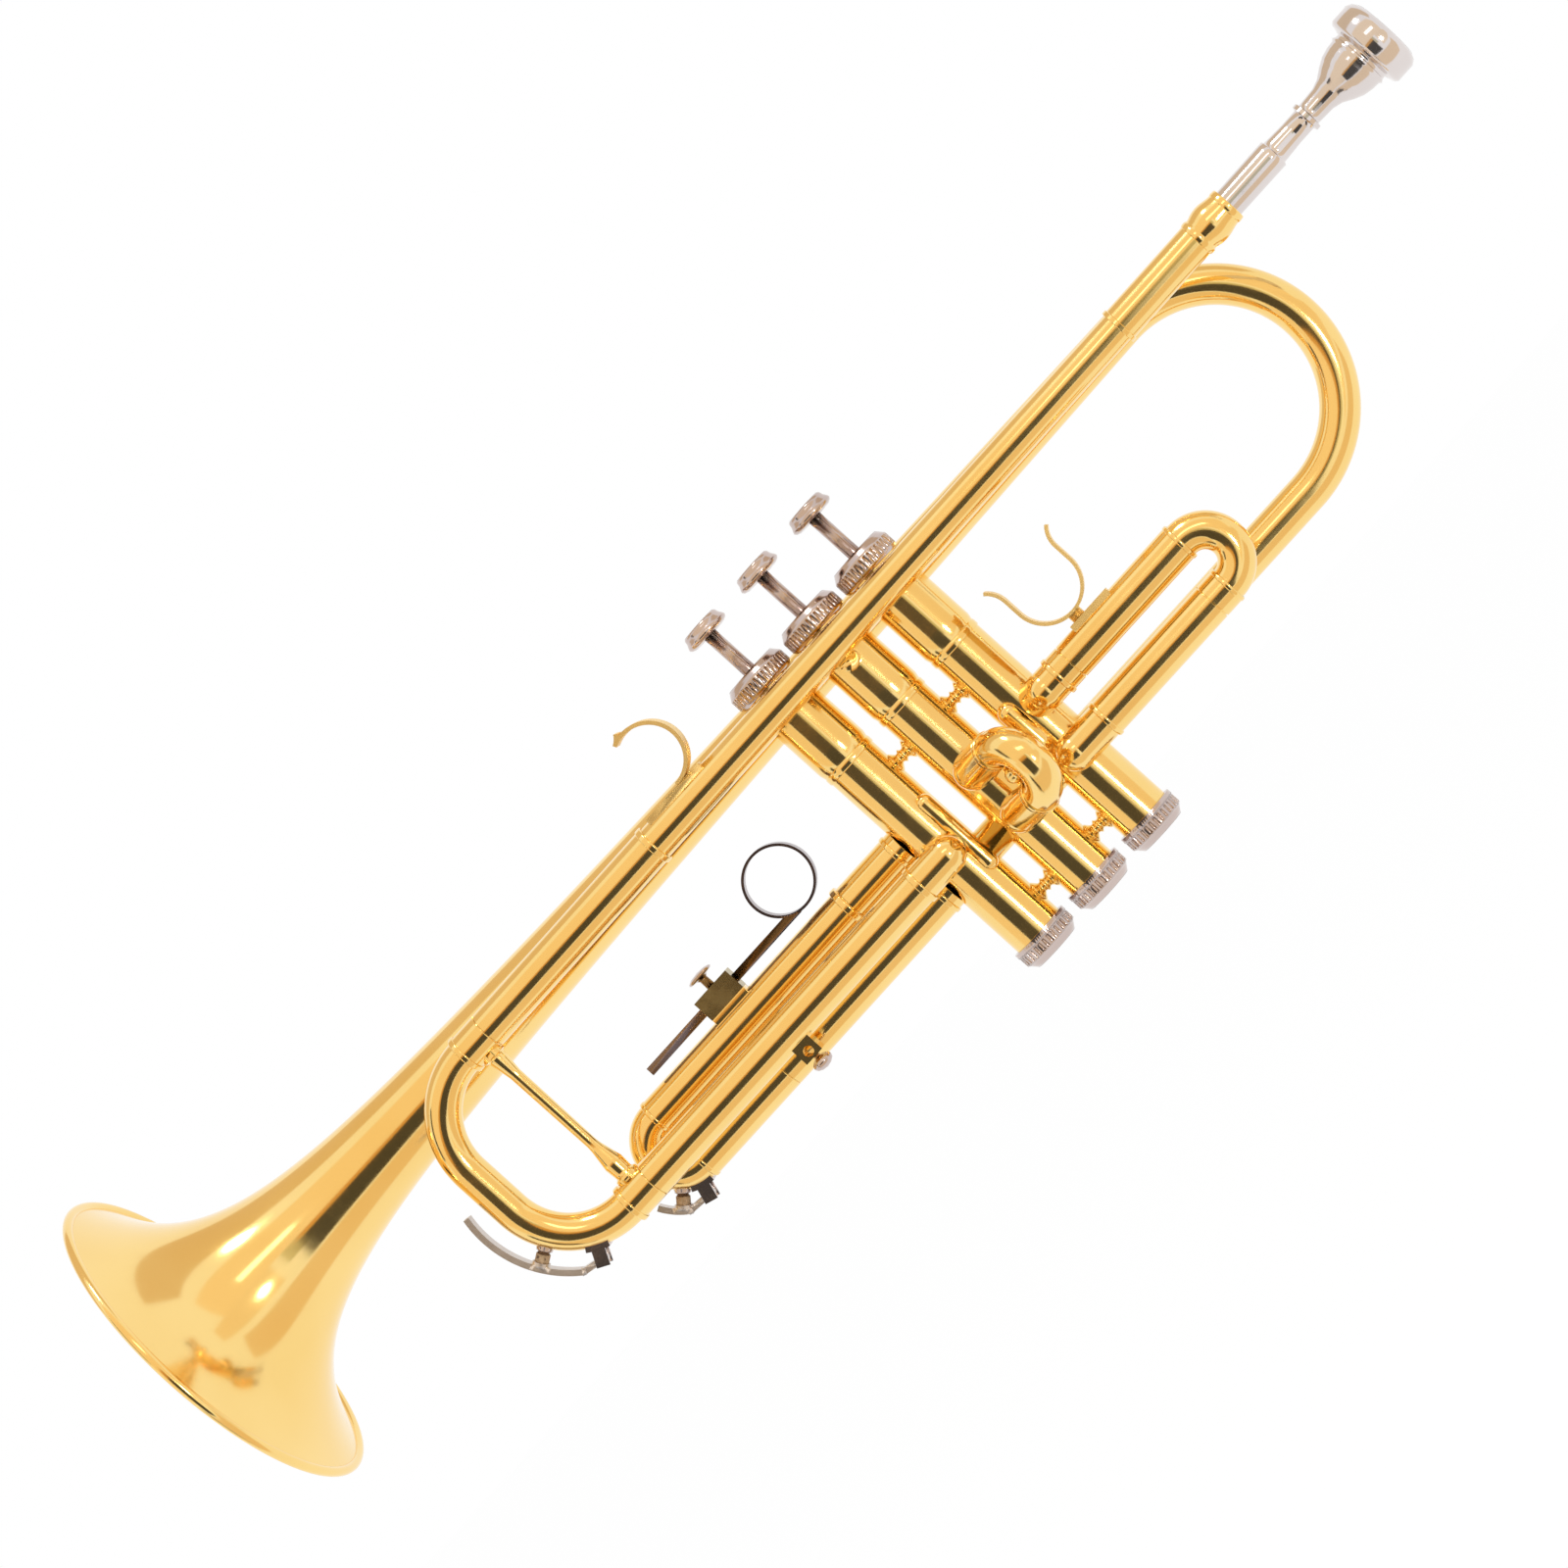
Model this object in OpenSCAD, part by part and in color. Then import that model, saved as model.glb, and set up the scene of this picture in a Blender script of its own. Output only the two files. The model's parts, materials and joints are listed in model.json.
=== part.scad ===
// Three-valve trumpet, held at the valve block.
// +X points to the mouthpiece, +Z to the finger buttons, and the leadpipe lies on the -Y side.
// The origin is on the axis of the middle valve, half way between the slide rows.

/* [Overall layout] */
// Height of the leadpipe and of the bell above the origin
upper_z = 67.6; // [66.5:0.1:69]
// Distance between the axes of neighbouring valves
valve_pitch = 24.5; // [23.6:0.1:26]
// Sideways place of the leadpipe
leadpipe_y = -16.4; // [-18:0.1:-16.3]
// Sideways place of the bell
bell_y = 18.7; // [18.6:0.1:21]
// Distance between the two legs of each valve slide
loop_spacing = 19.6; // [18.6:0.1:21]

/* [Bell] */
// Radius of the bell rim
bell_rim_r = 61.5; // [55:0.5:66]
// Place of the bell rim along the horn
bell_rim_x = -304; // [-330:1:-280]
// Radius of the tail of the bell where the bow starts
bell_tail_r = 6.5; // [6.3:0.1:6.8]
// Wall of the bell
bell_wall = 0.8; // [0.6:0.1:1.2]
// Radius of the rolled bead round the rim
rim_bead_r = 1.7; // [1.4:0.1:2]
// Radius of the wire inside the bead
rim_wire_r = 1; // [0.7:0.1:1.1]
// Where the bell bow starts
bow_x = 132; // [125:1:150]
// Radius of the bell bow
bow_r = 38.8; // [38:0.1:40]

/* [Tubing] */
// Inner radius of the outer slide tubes
sleeve_bore_r = 6.05; // [5.9:0.05:6.2]
// Wall of all slide tubes
tube_wall = 0.45; // [0.35:0.05:0.55]
// Radial clearance of a slide tube in its sleeve
slide_gap = 0.05; // [0.03:0.01:0.09]
// Extra radius of the rings and ferrules on the tubes
ring_rise = 0.5; // [0.3:0.1:0.8]
// Gap left between the end faces of slides that are pushed home
end_gap = 0.3; // [0.2:0.1:0.6]

/* [Leadpipe and receiver] */
// Radius of the leadpipe at the receiver
leadpipe_small_r = 5.3; // [5.1:0.1:5.5]
// Inner radius of the leadpipe at the receiver
leadpipe_bore_r = 4.4; // [4.2:0.1:4.5]
// Where the mouthpiece receiver starts
receiver_x = 130.5; // [120:0.5:140]
// Outer radius of the receiver tube
receiver_r = 5.9; // [5.8:0.1:6.1]
// Length of the receiver tube up to its bulb
receiver_len = 36.8; // [34:0.2:40]
// Length of the bulb at the receiver mouth
receiver_bulb_len = 13.4; // [12:0.2:15]
// Largest radius of the bulb
receiver_bulb_r = 6.8; // [6.6:0.1:7.2]
// How deep the mouthpiece shank sits
shank_depth = 26; // [22:0.5:30]

/* [Mouthpiece] */
// Radius of the shank at the receiver mouth
shank_r = 5; // [4.9:0.05:5.1]
// Radius of the shank at its tip
shank_tip_r = 4.5; // [4.45:0.05:4.6]
// Length of the mouthpiece outside the receiver
mouthpiece_len = 69.6; // [64:0.2:74]
// Outer radius of the rim
mouth_rim_r = 13.5; // [13:0.1:14]
// Inner radius of the rim
mouth_cup_r = 8.2; // [7.8:0.1:8.6]
// Radius of the throat
throat_r = 1.85; // [1.7:0.05:2]

/* [Main tuning slide] */
// Distance between the legs of the tuning slide
tuning_spacing = 69.2; // [68.4:0.1:70]
// Where the legs turn into the crook
tuning_bend_x = -172.5; // [-180:0.5:-166]
// Radius of the two bends of the crook
tuning_bend_r = 26; // [22:0.5:28]
// Length of the ferrules on the legs
tuning_ferrule_len = 11; // [9:0.5:13]
// Where the upper sleeve ends on the leadpipe
tuning_ring_x = -82; // [-90:0.5:-76]
// Where the lower sleeve ends near the third valve
tuning_lower_ring_x = -35.5; // [-37:0.5:-35]
// Where the inner legs end inside the sleeves
tuning_leg_end_x = -100; // [-110:0.5:-96]
// Where the leadpipe ends inside the upper sleeve
leadpipe_end_x = -90; // [-94:0.5:-88]

/* [Valves] */
// Outer radius of the lower casing
casing_r = 9.3; // [9.2:0.05:9.5]
// Outer radius of the upper casing
casing_top_r = 9.9; // [9.8:0.05:10]
// Radius of the piston
piston_r = 8.4; // [8.3:0.05:8.45]
// Radial clearance of the piston in the casing
piston_gap = 0.03; // [0.02:0.01:0.06]
// Wall of the upper casing
casing_top_wall = 0.7; // [0.6:0.05:0.8]
// Top of the casings
casing_top_z = 80; // [78:0.5:84]
// Bottom of the casings
casing_bottom_z = -45; // [-48:0.5:-43]
// Ledge between the lower and the upper casing
ledge_z = 40; // [39:0.5:42]
// How far a valve is pressed
valve_travel = 15.5; // [14:0.5:16]
// Bottom of the pistons at rest
piston_bottom_z = -26; // [-27:0.5:-24]
// Top of the porting part of the pistons at rest
piston_top_z = 37; // [36:0.5:38]
// Radius of the valve stems
stem_r = 2.4; // [2.2:0.1:2.6]
// Visible length of the stems at rest
stem_show = 16.6; // [16.5:0.1:18]
// Radius of the finger buttons
button_r = 8.1; // [7.5:0.1:9]
// Thickness of the finger buttons
button_h = 4.9; // [4.4:0.1:5.4]
// Outer radius of the top caps
top_cap_r = 11.35; // [11.2:0.05:11.5]
// Outer radius of the bottom caps
bottom_cap_r = 10.75; // [10.6:0.05:11]
// Height of the caps' knurled skirts
cap_skirt_h = 6; // [5.5:0.1:6]
// Thickness of the caps' end plates
cap_plate = 1.9; // [1.6:0.1:2.2]
// Height of the tubes that join neighbouring valves
cross_z = -9.4; // [-10:0.1:-9]

/* [Third slide] */
// Where the legs meet the crook
third_bend_x = -150; // [-156:0.5:-146]
// Where the upper moving tube ends
third_upper_end_x = -57.5; // [-62:0.5:-54]
// Where the lower fixed tube ends
third_lower_end_x = -110; // [-114:0.5:-106]
// Where the upper fixed tube ends inside the moving one
third_fixed_end_x = -134; // [-138:0.5:-130]
// Where the lower moving tube ends inside the fixed one
third_leg_end_x = -66; // [-72:0.5:-60]
// Outer radius of the finger ring
finger_ring_r = 11.8; // [11:0.1:12.5]
// Place of the centre of the finger ring
finger_ring_x = -67.2; // [-70:0.2:-65]
// Length of the rod of the finger ring
ring_rod_len = 66; // [62:0.5:68]
// Height of the rod above the upper leg's axis
ring_rod_rise = 11.3; // [11:0.1:11.8]

/* [First slide] */
// Where the upper moving tube starts
first_start_x = 45.5; // [44:0.5:48]
// Where the lower fixed tube ends
first_lower_end_x = 87.8; // [84:0.2:90]
// Where the lower moving tube ends inside the fixed one
first_leg_end_x = 56; // [52:0.5:60]
// Where the legs meet the crook
first_bend_x = 95.5; // [90:0.5:100]
// Where the upper fixed tube ends inside the moving one
first_fixed_end_x = 86; // [82:0.5:88]
// Sideways place of the first slide
first_y = -12; // [-13:0.1:-11.6]
// Place of the ball elbow of its upper leg
first_upper_x = 33.7; // [33:0.1:35]
// Place of the ball elbow of its lower leg
first_lower_x = 26; // [24.6:0.1:27]
// Place of the thumb saddle
saddle_x = 57.2; // [54:0.2:60]
// Outer radius of the thumb saddle
saddle_r = 12; // [11.5:0.1:13.5]

/* [Second slide] */
// Angle of the slide, from -Y towards the first valve
second_angle = 37; // [32:1:38]
// Sideways place of its ball elbows
second_y = -12; // [-13:0.1:-11.6]
// Length of its sleeves
second_sleeve_len = 15; // [14:0.5:17]

/* [Fittings] */
// Place of the finger hook
hook_x = -63.5; // [-66:0.2:-61]
// Outer radius of the finger hook
hook_r = 12; // [11:0.2:13]
// Places of the two braces between leadpipe and bell
brace_x = [-66, 84]; // [-100:1:120]
// Radius of the water key pins
key_pin_r = 0.8; // [0.7:0.05:0.9]
// Radial clearance on the water key pins
key_pin_gap = 0.05; // [0.03:0.01:0.08]
// Radius of the socket for a music lyre
lyre_bore_r = 1.75; // [1.6:0.05:1.9]
// Place of the lyre socket on the lower tuning sleeve
lyre_x = -97.8; // [-104:0.2:-90]

/* [Hidden] */

$fn = 96;
GOLD = [0.93, 0.68, 0.27];
NICKEL = [0.80, 0.74, 0.72];
DARK = [0.36, 0.30, 0.30];
CORK = [0.72, 0.55, 0.38];
STEEL = [0.62, 0.62, 0.64];

// How far a cutter runs past the face it cuts
over = 1;

// Derived radii of the tubes
sleeve_r = sleeve_bore_r + tube_wall;
leg_r = sleeve_bore_r - slide_gap;
leg_bore_r = leg_r - tube_wall;
knuckle_r = sleeve_r - 0.25;

// Derived heights
lower_z = upper_z - tuning_spacing;
leg_z = loop_spacing / 2;
bell_low_z = upper_z - 2 * bow_r;

// Valves, first to third, from the mouthpiece side
valve_x = [0, valve_pitch, 0, -valve_pitch];
casing_bore_r = piston_r + piston_gap;
casing_top_bore_r = casing_top_r - casing_top_wall;
guide_h = 2.4;
guide_arm_w = 3.6;
barrel_r = 7.3;
barrel_bore_r = 6.5;
barrel_plate = 2;
felt_h = 1.4;
felt_gap = 0.1;
barrel_top_z = casing_top_z - felt_gap - felt_h;
stem_hole_r = stem_r + 0.1;
stem_top_z = casing_top_z + cap_plate + stem_show;
spring_r = 5.3;
spring_wire_r = 0.5;

// Water keys: outer radius of the bend each sits on, angles of its hinge and nipple in the
// XZ plane, and how far its pin stands off the bend
tuning_key_r = tuning_bend_r + leg_r;
tuning_hinge_a = 240;
tuning_nipple_a = 209;
tuning_key_lift = 4;
third_key_r = leg_z + leg_r;
third_hinge_a = 252;
third_nipple_a = 226;
third_key_lift = 3.6;

// Block, rod and thumb screw of the finger ring
ring_block_x = finger_ring_x - 39.4;
ring_block_len = 14.6;
ring_block_w = 8;
ring_block_low = ring_rod_rise - 3.6;
rod_h = 3;
rod_w = 2.4;
rod_gap = 0.08;
rod_z = leg_z + ring_rod_rise;
ring_screw_r = 1.5;

// Block and screw of the lyre socket
lyre_block_h = 5;
lyre_block_w = 8;
lyre_z = lower_z - sleeve_r - lyre_block_h / 2;
lyre_screw_r = 1.2;

// First slide: where the collars of its two elbows lie
first_collar_x = first_upper_x + 5;

// Second slide: place of its elbows, and the depth at which its legs stop
second_x = 0.3;
second_stop = 7.5;

module tube(len, ro, ri) {
    // A tube along +X from the origin
    rotate([0, 90, 0])
        difference() {
            cylinder(h = len, r = ro);
            translate([0, 0, -over])
                cylinder(h = len + 2 * over, r = ri);
        }
}

module rod(len, ro) {
    // A round bar along +X from the origin
    rotate([0, 90, 0])
        cylinder(h = len, r = ro);
}

module bend(radius, from, turn, ro, ri) {
    // A bent tube in the XZ plane, with angles from +X towards +Z
    rotate([90, 0, 0])
        rotate_extrude(angle = turn, start = from)
            translate([radius, 0])
                difference() {
                    circle(r = ro);
                    circle(r = ri);
                }
}

module arc_strip(r_in, r_out, width, from, turn) {
    // A flat strip bent round the Y axis
    rotate([90, 0, 0])
        rotate_extrude(angle = turn, start = from)
            translate([r_in, -width / 2])
                square([r_out - r_in, width]);
}

module lathe(outline) {
    // An outline of [place along X, radius] points turned round the X axis
    rotate([0, 90, 0])
        rotate([0, 0, 180])
            rotate_extrude()
                polygon([for (p = outline) [p[1], p[0]]]);
}

module casing_cut(v) {
    // The outer shape of the lower casing of one valve
    translate([valve_x[v], 0, casing_bottom_z])
        cylinder(h = ledge_z - casing_bottom_z, r = casing_r);
}

function bell_radius(d) =
    // Outer radius of the bell at the distance d from its rim
    let (length = bow_x - bell_rim_x)
    let (flare = 40.5)
    let (taper = 4.5 * (1 - d / length))
    let (edge = flare * flare / pow(d + flare, 2) - flare * flare / pow(length + flare, 2))
    bell_tail_r + taper + (bell_rim_r - bell_tail_r - 4.5) * edge
        / (1 - flare * flare / pow(length + flare, 2));

// ---------------------------------------------------------------- bell

// Distances from the rim at which the outline of the bell is set out
bell_steps = [0, 1.5, 3.5, 6, 9, 13, 18, 24, 32, 42, 56, 75, 100, 135, 180, 235, 300, 365];

function bell_outline() = concat(
    // The filled outline of the flare and tail
    [[bell_rim_x, 0]],
    [for (d = bell_steps) [bell_rim_x + d, bell_radius(d)]],
    [[bow_x, bell_tail_r], [bow_x, 0]]);

module bell() {
    // Flare, tail, bow and the branch into the first valve
    last = len(bell_steps) - 1;
    bore_r = bell_tail_r - bell_wall;
    outer = [for (d = bell_steps) [bell_rim_x + d, bell_radius(d)]];
    inner = [for (i = [last:-1:0]) [outer[i][0], outer[i][1] - bell_wall]];
    color(GOLD) {
        translate([0, bell_y, upper_z])
            difference() {
                union() {
                    lathe(concat(outer, [[bow_x, bell_tail_r], [bow_x, bore_r]], inner));
                    bead(rim_bead_r);
                }
                bead(rim_wire_r);
            }
        translate([bow_x, bell_y, upper_z - bow_r])
            bend(bow_r, -90, 180, bell_tail_r, bore_r);
        knuckle(1, [valve_x[1], bell_y, bell_low_z], 0, bow_x - valve_x[1], bell_tail_r, bore_r);
    }
}

module bead(r) {
    // A ring round the bell rim
    rotate([0, 90, 0])
        translate([0, 0, bell_rim_x])
            rotate_extrude()
                translate([bell_rim_r - rim_bead_r / 2, 0])
                    circle(r = r);
}

module bell_rim_wire() {
    color(STEEL)
        translate([0, bell_y, upper_z])
            bead(rim_wire_r);
}

// ---------------------------------------------------------------- leadpipe

function leadpipe_outline() = [
    // The filled outline of the leadpipe
    [leadpipe_end_x, 0],
    [leadpipe_end_x, sleeve_bore_r],
    [tuning_ring_x + 4, sleeve_bore_r],
    [receiver_x + 14, leadpipe_small_r],
    [receiver_x + 14, 0],
];

module leadpipe() {
    // The tapered tube between the receiver and the tuning slide
    straight_x = tuning_ring_x + 4;
    color(GOLD)
        translate([0, leadpipe_y, upper_z])
            lathe([
                [leadpipe_end_x, leg_r - tube_wall],
                [leadpipe_end_x, sleeve_bore_r],
                [straight_x, sleeve_bore_r],
                [receiver_x + 14, leadpipe_small_r],
                [receiver_x + 14, leadpipe_bore_r],
            ]);
}

module mouthpiece_receiver() {
    // The sleeve and bulb that take the shank of the mouthpiece
    bulb_x = receiver_x + receiver_len;
    mouth_x = bulb_x + receiver_bulb_len;
    pipe_x = receiver_x + 14;
    pipe_r = leadpipe_small_r;
    shank_x = mouth_x - shank_depth;
    fit = slide_gap;
    ring_w = 1.6;
    color(GOLD)
        translate([0, leadpipe_y, upper_z])
            difference() {
                union() {
                    translate([receiver_x, 0, 0])
                        rod(receiver_len, receiver_r);
                    translate([receiver_x, 0, 0])
                        rod(ring_w, receiver_r + ring_rise);
                    lathe([
                        [bulb_x - 1.5, 0],
                        [bulb_x - 1.5, receiver_r + 0.3],
                        [bulb_x, receiver_r + 0.5],
                        [bulb_x + 1, receiver_r],
                        [bulb_x + 3, receiver_bulb_r - 0.3],
                        [bulb_x + 5.5, receiver_bulb_r],
                        [bulb_x + 8, receiver_bulb_r - 0.3],
                        [mouth_x - 2.4, receiver_r],
                        [mouth_x - 1.8, receiver_r + 0.3],
                        [mouth_x, receiver_r],
                        [mouth_x, 0],
                    ]);
                }
                lathe([
                    [receiver_x - over, 0],
                    [receiver_x - over, pipe_r_at(receiver_x - over)],
                    [pipe_x, pipe_r],
                    [shank_x - 1, leadpipe_bore_r],
                    [shank_x - 1, shank_tip_r + fit],
                    [shank_x, shank_tip_r + fit],
                    [mouth_x, shank_r + fit],
                    [mouth_x + over, shank_r + fit],
                    [mouth_x + over, 0],
                ]);
            }
}

function pipe_r_at(x) =
    // Outer radius of the leadpipe where it tapers
    let (x0 = tuning_ring_x + 4)
    let (x1 = receiver_x + 14)
    sleeve_bore_r + (leadpipe_small_r - sleeve_bore_r) * (x - x0) / (x1 - x0);

module mouthpiece() {
    // Shank, throat, cup and rim; it pulls out of the receiver
    mouth_x = receiver_x + receiver_len + receiver_bulb_len;
    shank_x = mouth_x - shank_depth;
    end_x = mouth_x + mouthpiece_len;
    color(NICKEL)
        translate([0, leadpipe_y, upper_z])
            difference() {
                lathe([
                    [shank_x, 0],
                    [shank_x, shank_tip_r],
                    [mouth_x, shank_r],
                    [mouth_x + 20, shank_r + 0.1],
                    [mouth_x + 20.5, 4.3],
                    [mouth_x + 28, 3.9],
                    [mouth_x + 33.6, 3.9],
                    [mouth_x + 34, 5.1],
                    [mouth_x + 35.4, 5.1],
                    [mouth_x + 35.8, 4.0],
                    [mouth_x + 42, 4.3],
                    [mouth_x + 45, 5.2],
                    [mouth_x + 48, 7.1],
                    [mouth_x + 51, 8.6],
                    [mouth_x + 54, 9.3],
                    [mouth_x + 56.6, 9.5],
                    [mouth_x + 57.2, 10.1],
                    [mouth_x + 58.0, 9.6],
                    [mouth_x + 59.2, 9.4],
                    [mouth_x + 60.2, mouth_rim_r - 0.7],
                    [mouth_x + 61, mouth_rim_r],
                    [end_x - 2.6, mouth_rim_r],
                    [end_x - 1, mouth_rim_r - 0.9],
                    [end_x, mouth_rim_r - 2.6],
                    [end_x, 0],
                ]);
                lathe([
                    [shank_x - over, 0],
                    [shank_x - over, shank_tip_r - 0.6],
                    [mouth_x + 36, throat_r],
                    [mouth_x + 50, throat_r],
                    [mouth_x + 54, 3.6],
                    [end_x - 10, 6.6],
                    [end_x - 5, mouth_cup_r - 0.3],
                    [end_x - 1.6, mouth_cup_r],
                    [end_x, mouth_cup_r + 1.6],
                    [end_x + over, mouth_cup_r + 1.6],
                    [end_x + over, 0],
                ]);
            }
}

// ---------------------------------------------------------------- valves

module knuckle_shape(v, at, heading, len, r) {
    // A bar that leaves a ball at "heading", and a stub from the ball to the axis of a casing.
    // The ball is a little proud of both bars, with its poles and its seam inside them.
    reach = sqrt(pow(valve_x[v] - at[0], 2) + at[1] * at[1]);
    inward = atan2(-at[1], valve_x[v] - at[0]);
    proud = 0.15;
    translate(at) {
        rotate([90, 0, (inward + heading) / 2])
            sphere(r = r + proud);
        rotate([0, 0, inward])
            rod(reach, r);
        rotate([0, 0, heading])
            rod(len, r);
    }
}

module knuckle(v, at, heading, len, ro, ri) {
    // The same shape as a hollow tube that ends on the casing
    difference() {
        knuckle_shape(v, at, heading, len, ro);
        knuckle_shape(v, at, heading, len + over, ri);
        casing_cut(v);
    }
}

module port(v, angle, z, r) {
    // A hole through one side of a casing
    translate([valve_x[v], 0, z])
        rotate([0, 0, angle])
            rod(casing_r + over, r);
}

module valve_casing(v) {
    // Lower casing, wider upper casing, the bead between them and the ports
    bead_h = 2.6;
    color(GOLD)
        difference() {
            translate([valve_x[v], 0, 0])
                difference() {
                    union() {
                        translate([0, 0, casing_bottom_z])
                            cylinder(h = ledge_z - casing_bottom_z, r = casing_r);
                        translate([0, 0, ledge_z])
                            cylinder(h = 3.4, r1 = casing_r, r2 = casing_top_r);
                        translate([0, 0, ledge_z + 3.4])
                            cylinder(h = casing_top_z - ledge_z - 3.4, r = casing_top_r);
                        translate([0, 0, ledge_z - 1.2])
                            cylinder(h = bead_h, r = casing_r + 0.4);
                    }
                    translate([0, 0, casing_bottom_z - over])
                        cylinder(h = ledge_z - casing_bottom_z + 2 * over, r = casing_bore_r);
                    translate([0, 0, ledge_z])
                        cylinder(h = 3.4, r1 = casing_bore_r, r2 = casing_top_bore_r);
                    translate([0, 0, ledge_z + 3.4 - 0.01])
                        cylinder(h = casing_top_z - ledge_z, r = casing_top_bore_r);
                }
            if (v > 1)
                port(v, 0, cross_z, leg_bore_r);
            if (v < 3)
                port(v, 180, cross_z, leg_bore_r);
            if (v == 1) {
                port(1, 90, bell_low_z, leg_bore_r);
                port(1, atan2(first_y, first_upper_x - valve_x[1]), leg_z, leg_bore_r);
                port(1, atan2(first_y, first_lower_x - valve_x[1]), -leg_z, leg_bore_r);
            }
            if (v == 2) {
                port(2, -90, leg_z, leg_bore_r);
                port(2, -90, -leg_z, leg_bore_r);
            }
            if (v == 3) {
                port(3, 180, leg_z, leg_bore_r);
                port(3, 180, -leg_z, leg_bore_r);
                port(3, -90, lower_z, leg_bore_r);
            }
        }
}

module top_cap(v) {
    // Knurled cap with a hole for the stem
    skirt_z = casing_top_z - cap_skirt_h;
    knurls = 40;
    notch_r = 0.45;
    color(NICKEL)
        translate([valve_x[v], 0, 0])
            difference() {
                union() {
                    translate([0, 0, skirt_z + 1.2])
                        cylinder(h = cap_skirt_h - 1.8, r = top_cap_r);
                    translate([0, 0, skirt_z])
                        cylinder(h = 1.2, r1 = top_cap_r - 0.9, r2 = top_cap_r);
                    translate([0, 0, casing_top_z - 0.6])
                        cylinder(h = cap_plate + 0.6, r1 = top_cap_r, r2 = top_cap_r - 1.9);
                }
                translate([0, 0, skirt_z - over])
                    cylinder(h = cap_skirt_h + over, r = casing_top_r);
                translate([0, 0, casing_top_z - over])
                    cylinder(h = cap_plate + 2 * over, r = stem_hole_r);
                for (i = [0:knurls - 1])
                    rotate([0, 0, i * 360 / knurls])
                        translate([top_cap_r + 0.15, 0, skirt_z + 1.4])
                            cylinder(h = cap_skirt_h - 2.4, r = notch_r, $fn = 16);
            }
}

module top_caps() {
    for (v = [1:3])
        top_cap(v);
}

module bottom_cap(v) {
    // Knurled cap with a small vent
    knurls = 36;
    notch_r = 0.45;
    top_z = casing_bottom_z + cap_skirt_h;
    color(NICKEL)
        translate([valve_x[v], 0, 0])
            difference() {
                union() {
                    translate([0, 0, casing_bottom_z - cap_plate])
                        cylinder(h = 2.6, r1 = bottom_cap_r - 2.6, r2 = bottom_cap_r - 0.5);
                    translate([0, 0, casing_bottom_z - cap_plate + 2.6])
                        cylinder(h = 3.6, r = bottom_cap_r - 0.2);
                    translate([0, 0, top_z - 1.7])
                        cylinder(h = 1.7, r = bottom_cap_r);
                }
                translate([0, 0, casing_bottom_z])
                    cylinder(h = cap_skirt_h + over, r = casing_r);
                translate([0, 0, casing_bottom_z - cap_plate - over])
                    cylinder(h = cap_plate + 2 * over, r = 1.6);
                for (i = [0:knurls - 1])
                    rotate([0, 0, i * 360 / knurls])
                        translate([bottom_cap_r - 0.05, 0, casing_bottom_z - cap_plate + 3])
                            cylinder(h = 2.8, r = notch_r, $fn = 16);
            }
}

module bottom_caps() {
    for (v = [1:3])
        bottom_cap(v);
}

module valve_guide(v) {
    // Disc with two arms that pass through the slots of the piston's barrel
    arm_r = casing_top_bore_r - 0.1;
    color(CORK)
        translate([valve_x[v], 0, ledge_z + 3.4])
            difference() {
                union() {
                    cylinder(h = guide_h, r = barrel_bore_r - 0.2);
                    intersection() {
                        cylinder(h = guide_h, r = arm_r);
                        translate([-arm_r, -guide_arm_w / 2, 0])
                            cube([2 * arm_r, guide_arm_w, guide_h]);
                    }
                }
                translate([0, 0, -over])
                    cylinder(h = guide_h + 2 * over, r = 2);
            }
}

module piston(v) {
    // Ported body below, slotted spring barrel above
    body_h = piston_top_z - piston_bottom_z;
    slot_h = valve_travel + guide_h + 2;
    slot_w = guide_arm_w + 0.8;
    bore = leg_bore_r - 0.9;
    down = valve_travel;
    color(NICKEL)
        translate([valve_x[v], 0, 0])
            difference() {
                union() {
                    translate([0, 0, piston_bottom_z])
                        cylinder(h = body_h, r = piston_r);
                    translate([0, 0, piston_top_z])
                        cylinder(h = barrel_top_z - piston_top_z, r = barrel_r);
                }
                translate([0, 0, piston_top_z])
                    cylinder(h = barrel_top_z - piston_top_z - barrel_plate, r = barrel_bore_r);
                translate([-piston_r, -slot_w / 2, ledge_z + 3.4 - 1])
                    cube([2 * piston_r, slot_w, slot_h]);
                translate([0, 0, piston_bottom_z - over])
                    cylinder(h = 6 + over, r = piston_r - 1.2);
                passage([-piston_r, 0, cross_z], [piston_r, 0, cross_z], bore);
                passage([-piston_r, 0, cross_z + down], [0, -piston_r, leg_z + down], bore);
                passage([0, -piston_r, -leg_z + down], [piston_r, 0, cross_z + down], bore);
            }
}

module passage(from, to, r) {
    // A straight bore between two points, run a little past both
    d = to - from;
    flat = sqrt(d[0] * d[0] + d[1] * d[1]);
    translate(from)
        rotate([0, atan2(flat, d[2]), atan2(d[1], d[0])])
            translate([0, 0, -3])
                cylinder(h = norm(d) + 6, r = r);
}

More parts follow.
